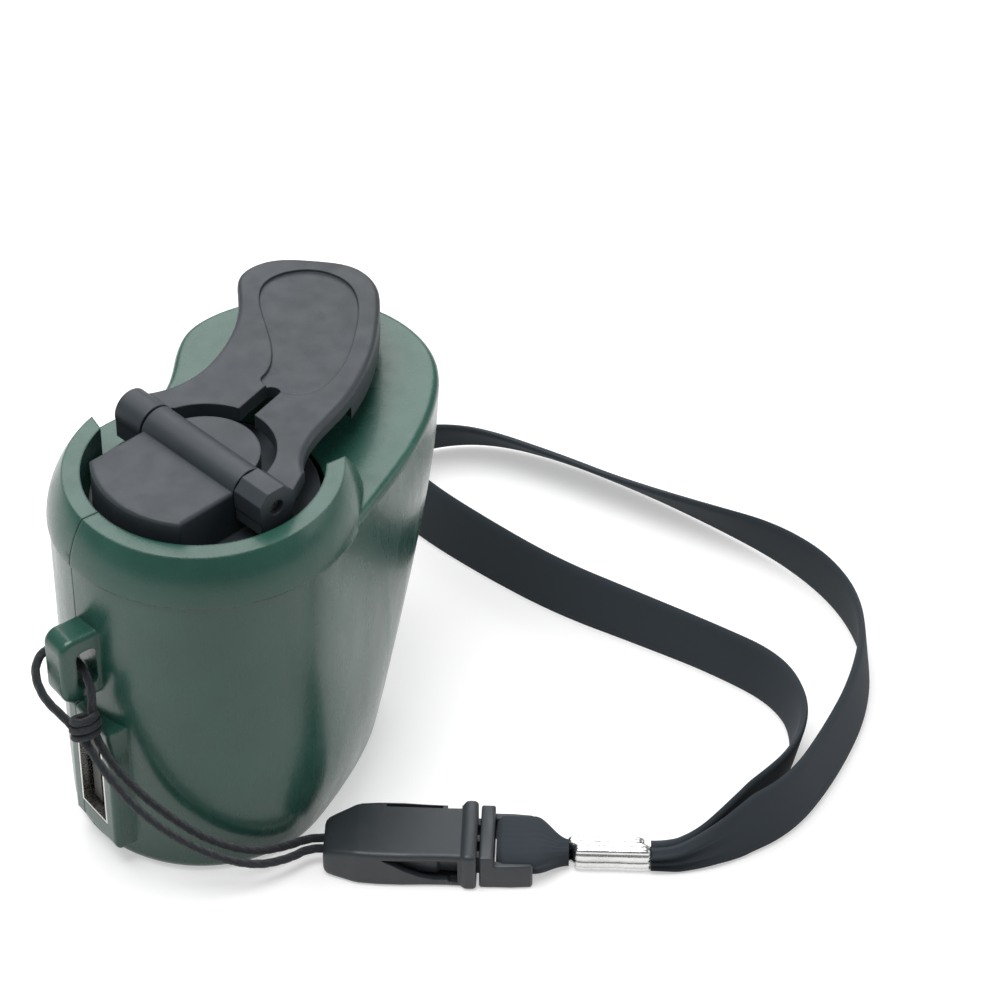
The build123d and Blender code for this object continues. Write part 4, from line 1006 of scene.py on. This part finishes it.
class BuildTail(bpy.types.Operator):
    """Fold the webbing round the buckle's bar and gather it into the ferrule"""
    bl_idname = "generator.build_tail"
    bl_label = "Gathered webbing"

    def execute(self, context):
        start = SOCKET_LENGTH + SIDE_GAP + 2.0
        fan = SOCKET_LENGTH + BLOCK_LENGTH + 0.5
        end = FERRULE_START + 0.1
        rings, length = [], []
        for i in range(TAIL_STEPS + 1):
            u = start + (end - start) * i / TAIL_STEPS
            share = eased(clamped((u - fan) / (end - fan)))
            half_wide = TAIL_HALF_WIDTH + (FERRULE_WIDTH / 2 - FERRULE_INSET - TAIL_HALF_WIDTH) * share
            half_high = TAIL_HALF_HEIGHT + (FERRULE_HEIGHT / 2 - FERRULE_INSET - TAIL_HALF_HEIGHT) * share
            middle = BUCKLE_THICKNESS / 2 + (FERRULE_MIDDLE - BUCKLE_THICKNESS / 2) * share
            nose_height = TAIL_NOSE_HEIGHT + (1 - TAIL_NOSE_HEIGHT) * min(1.0, i / TAIL_NOSE_STEPS)
            wander = PLEAT_WANDER * sin(PLEAT_WANDER_RATE * u)
            ring = []
            for j in range(TAIL_CORNERS):
                angle = 2 * pi * j / TAIL_CORNERS
                square = squared_off(angle, TAIL_ROUNDNESS)
                across = cos(angle) * square
                fold = abs(cos(pi * TAIL_PLEATS * across / 2 + PLEAT_START + wander))
                ripple = (PLEAT_DEPTH + PLEAT_DEEPENING * share) * (fold ** PLEAT_POWER - PLEAT_POWER)
                high = sin(angle) * (half_high * nose_height * square + ripple * abs(sin(angle)))
                over = (clamped((high + OVERHANG_BELOW) / OVERHANG_RISE) * (1 - share)
                        * clamped((u - start) / OVERHANG_RUN))
                ring.append(on_buckle(u, across * (half_wide + TAIL_OVERHANG * over), middle + high) * MM)
            rings.append(ring)
            length.append((u - start) * MM)
        tail = skin("gathered_webbing", rings, webbing_material(),
                    uv=lambda i, j: (length[i], pi * BUCKLE_THICKNESS * MM * j / TAIL_CORNERS))
        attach(tail, "buckle_half")
        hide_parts("webbing_tail")
        return {"FINISHED"}


class BuildFerrule(bpy.types.Operator):
    """Crimp the fluted metal ferrule round the webbing"""
    bl_idname = "generator.build_ferrule"
    bl_label = "Crimp ferrule"

    def execute(self, context):
        bright = plain_metal("ferrule_bright", (0.70, 0.70, 0.69), roughness=0.22, edge=0.00008)
        start, length = FERRULE_START + FERRULE_SLIP, FERRULE_LENGTH - 2 * FERRULE_SLIP
        rings = [self.ring(start, FERRULE_MOUTH, 0.0)]
        for i in range(FERRULE_STEPS + 1):
            ease = min(1.0, min(i, FERRULE_STEPS - i) / FERRULE_END_EASE)
            dent = (DENT_DEPTH * sin(DENT_WAVES[0] * i / FERRULE_STEPS * pi)
                    * (0.5 + 0.5 * cos(DENT_WAVES[1] * i)))
            scale = FERRULE_END_SHARE + (1 - FERRULE_END_SHARE) * sqrt(ease)
            rings.append(self.ring(start + length * i / FERRULE_STEPS, scale, dent))
        rings.append(self.ring(start + length, FERRULE_MOUTH, 0.0))
        ferrule = skin("crimped_ferrule", rings[::-1], bright)
        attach(ferrule, "buckle_half")
        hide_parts("crimp_ferrule")
        return {"FINISHED"}

    def ring(self, u, scale, dent):
        """Rounded rectangle with flutes along its faces."""
        points = []
        for j in range(FERRULE_CORNERS):
            angle = 2 * pi * j / FERRULE_CORNERS
            square = squared_off(angle, FERRULE_SQUARENESS)
            flute = FLUTE_DEPTH * abs(sin(FLUTES / 2 * angle + FLUTE_TURN)) ** FLUTE_POWER - FLUTE_DEPTH / 3
            across = cos(angle) * square * (FERRULE_WIDTH / 2) * scale
            high = sin(angle) * square * (FERRULE_HEIGHT / 2) * scale
            reach = sqrt(across * across + high * high)
            grow = 1.0 + (flute * (scale > FERRULE_MOUTH) + dent) / reach
            shift = FERRULE_SLIP * max(-1.0, min(1.0, across / 0.2))
            points.append(on_buckle(u - shift, across * grow, FERRULE_MIDDLE + high * grow) * MM)
        return points


# ---------------------------------------------------------------- panel and registration
OPERATORS = (BuildStage, FinishCasing, FinishCrank, FinishGears, FinishPowerSocket, BuildBuckle,
             BuildCord, BuildTail, BuildStrap, BuildFerrule)
SETTINGS = {
    "generator_case": CaseSettings, "generator_crank": CrankSettings,
    "generator_lanyard": LanyardSettings, "generator_stage": StageSettings,
}


class GeneratorPanel(bpy.types.Panel):
    """Lists the settings and the steps"""
    bl_idname = "VIEW3D_PT_generator"
    bl_label = "Hand crank generator"
    bl_space_type = "VIEW_3D"
    bl_region_type = "UI"
    bl_category = "Generator"

    def draw(self, context):
        for name, group in SETTINGS.items():
            settings = getattr(context.scene, name)
            for prop in group.__annotations__:
                self.layout.prop(settings, prop)
        for operator in OPERATORS:
            self.layout.operator(operator.bl_idname)


def register():
    for group in SETTINGS.values():
        bpy.utils.register_class(group)
    for name, group in SETTINGS.items():
        setattr(bpy.types.Scene, name, PointerProperty(type=group))
    for cls in (*OPERATORS, GeneratorPanel):
        bpy.utils.register_class(cls)


def unregister():
    for cls in (GeneratorPanel, *reversed(OPERATORS)):
        bpy.utils.unregister_class(cls)
    for name, group in SETTINGS.items():
        delattr(bpy.types.Scene, name)
        bpy.utils.unregister_class(group)


def main():
    register()
    for operator in OPERATORS:
        group, name = operator.bl_idname.split(".")
        result = getattr(getattr(bpy.ops, group), name)()
        if result != {"FINISHED"}:
            raise RuntimeError(operator.bl_label + " did not finish")


if __name__ == "__main__":
    main()
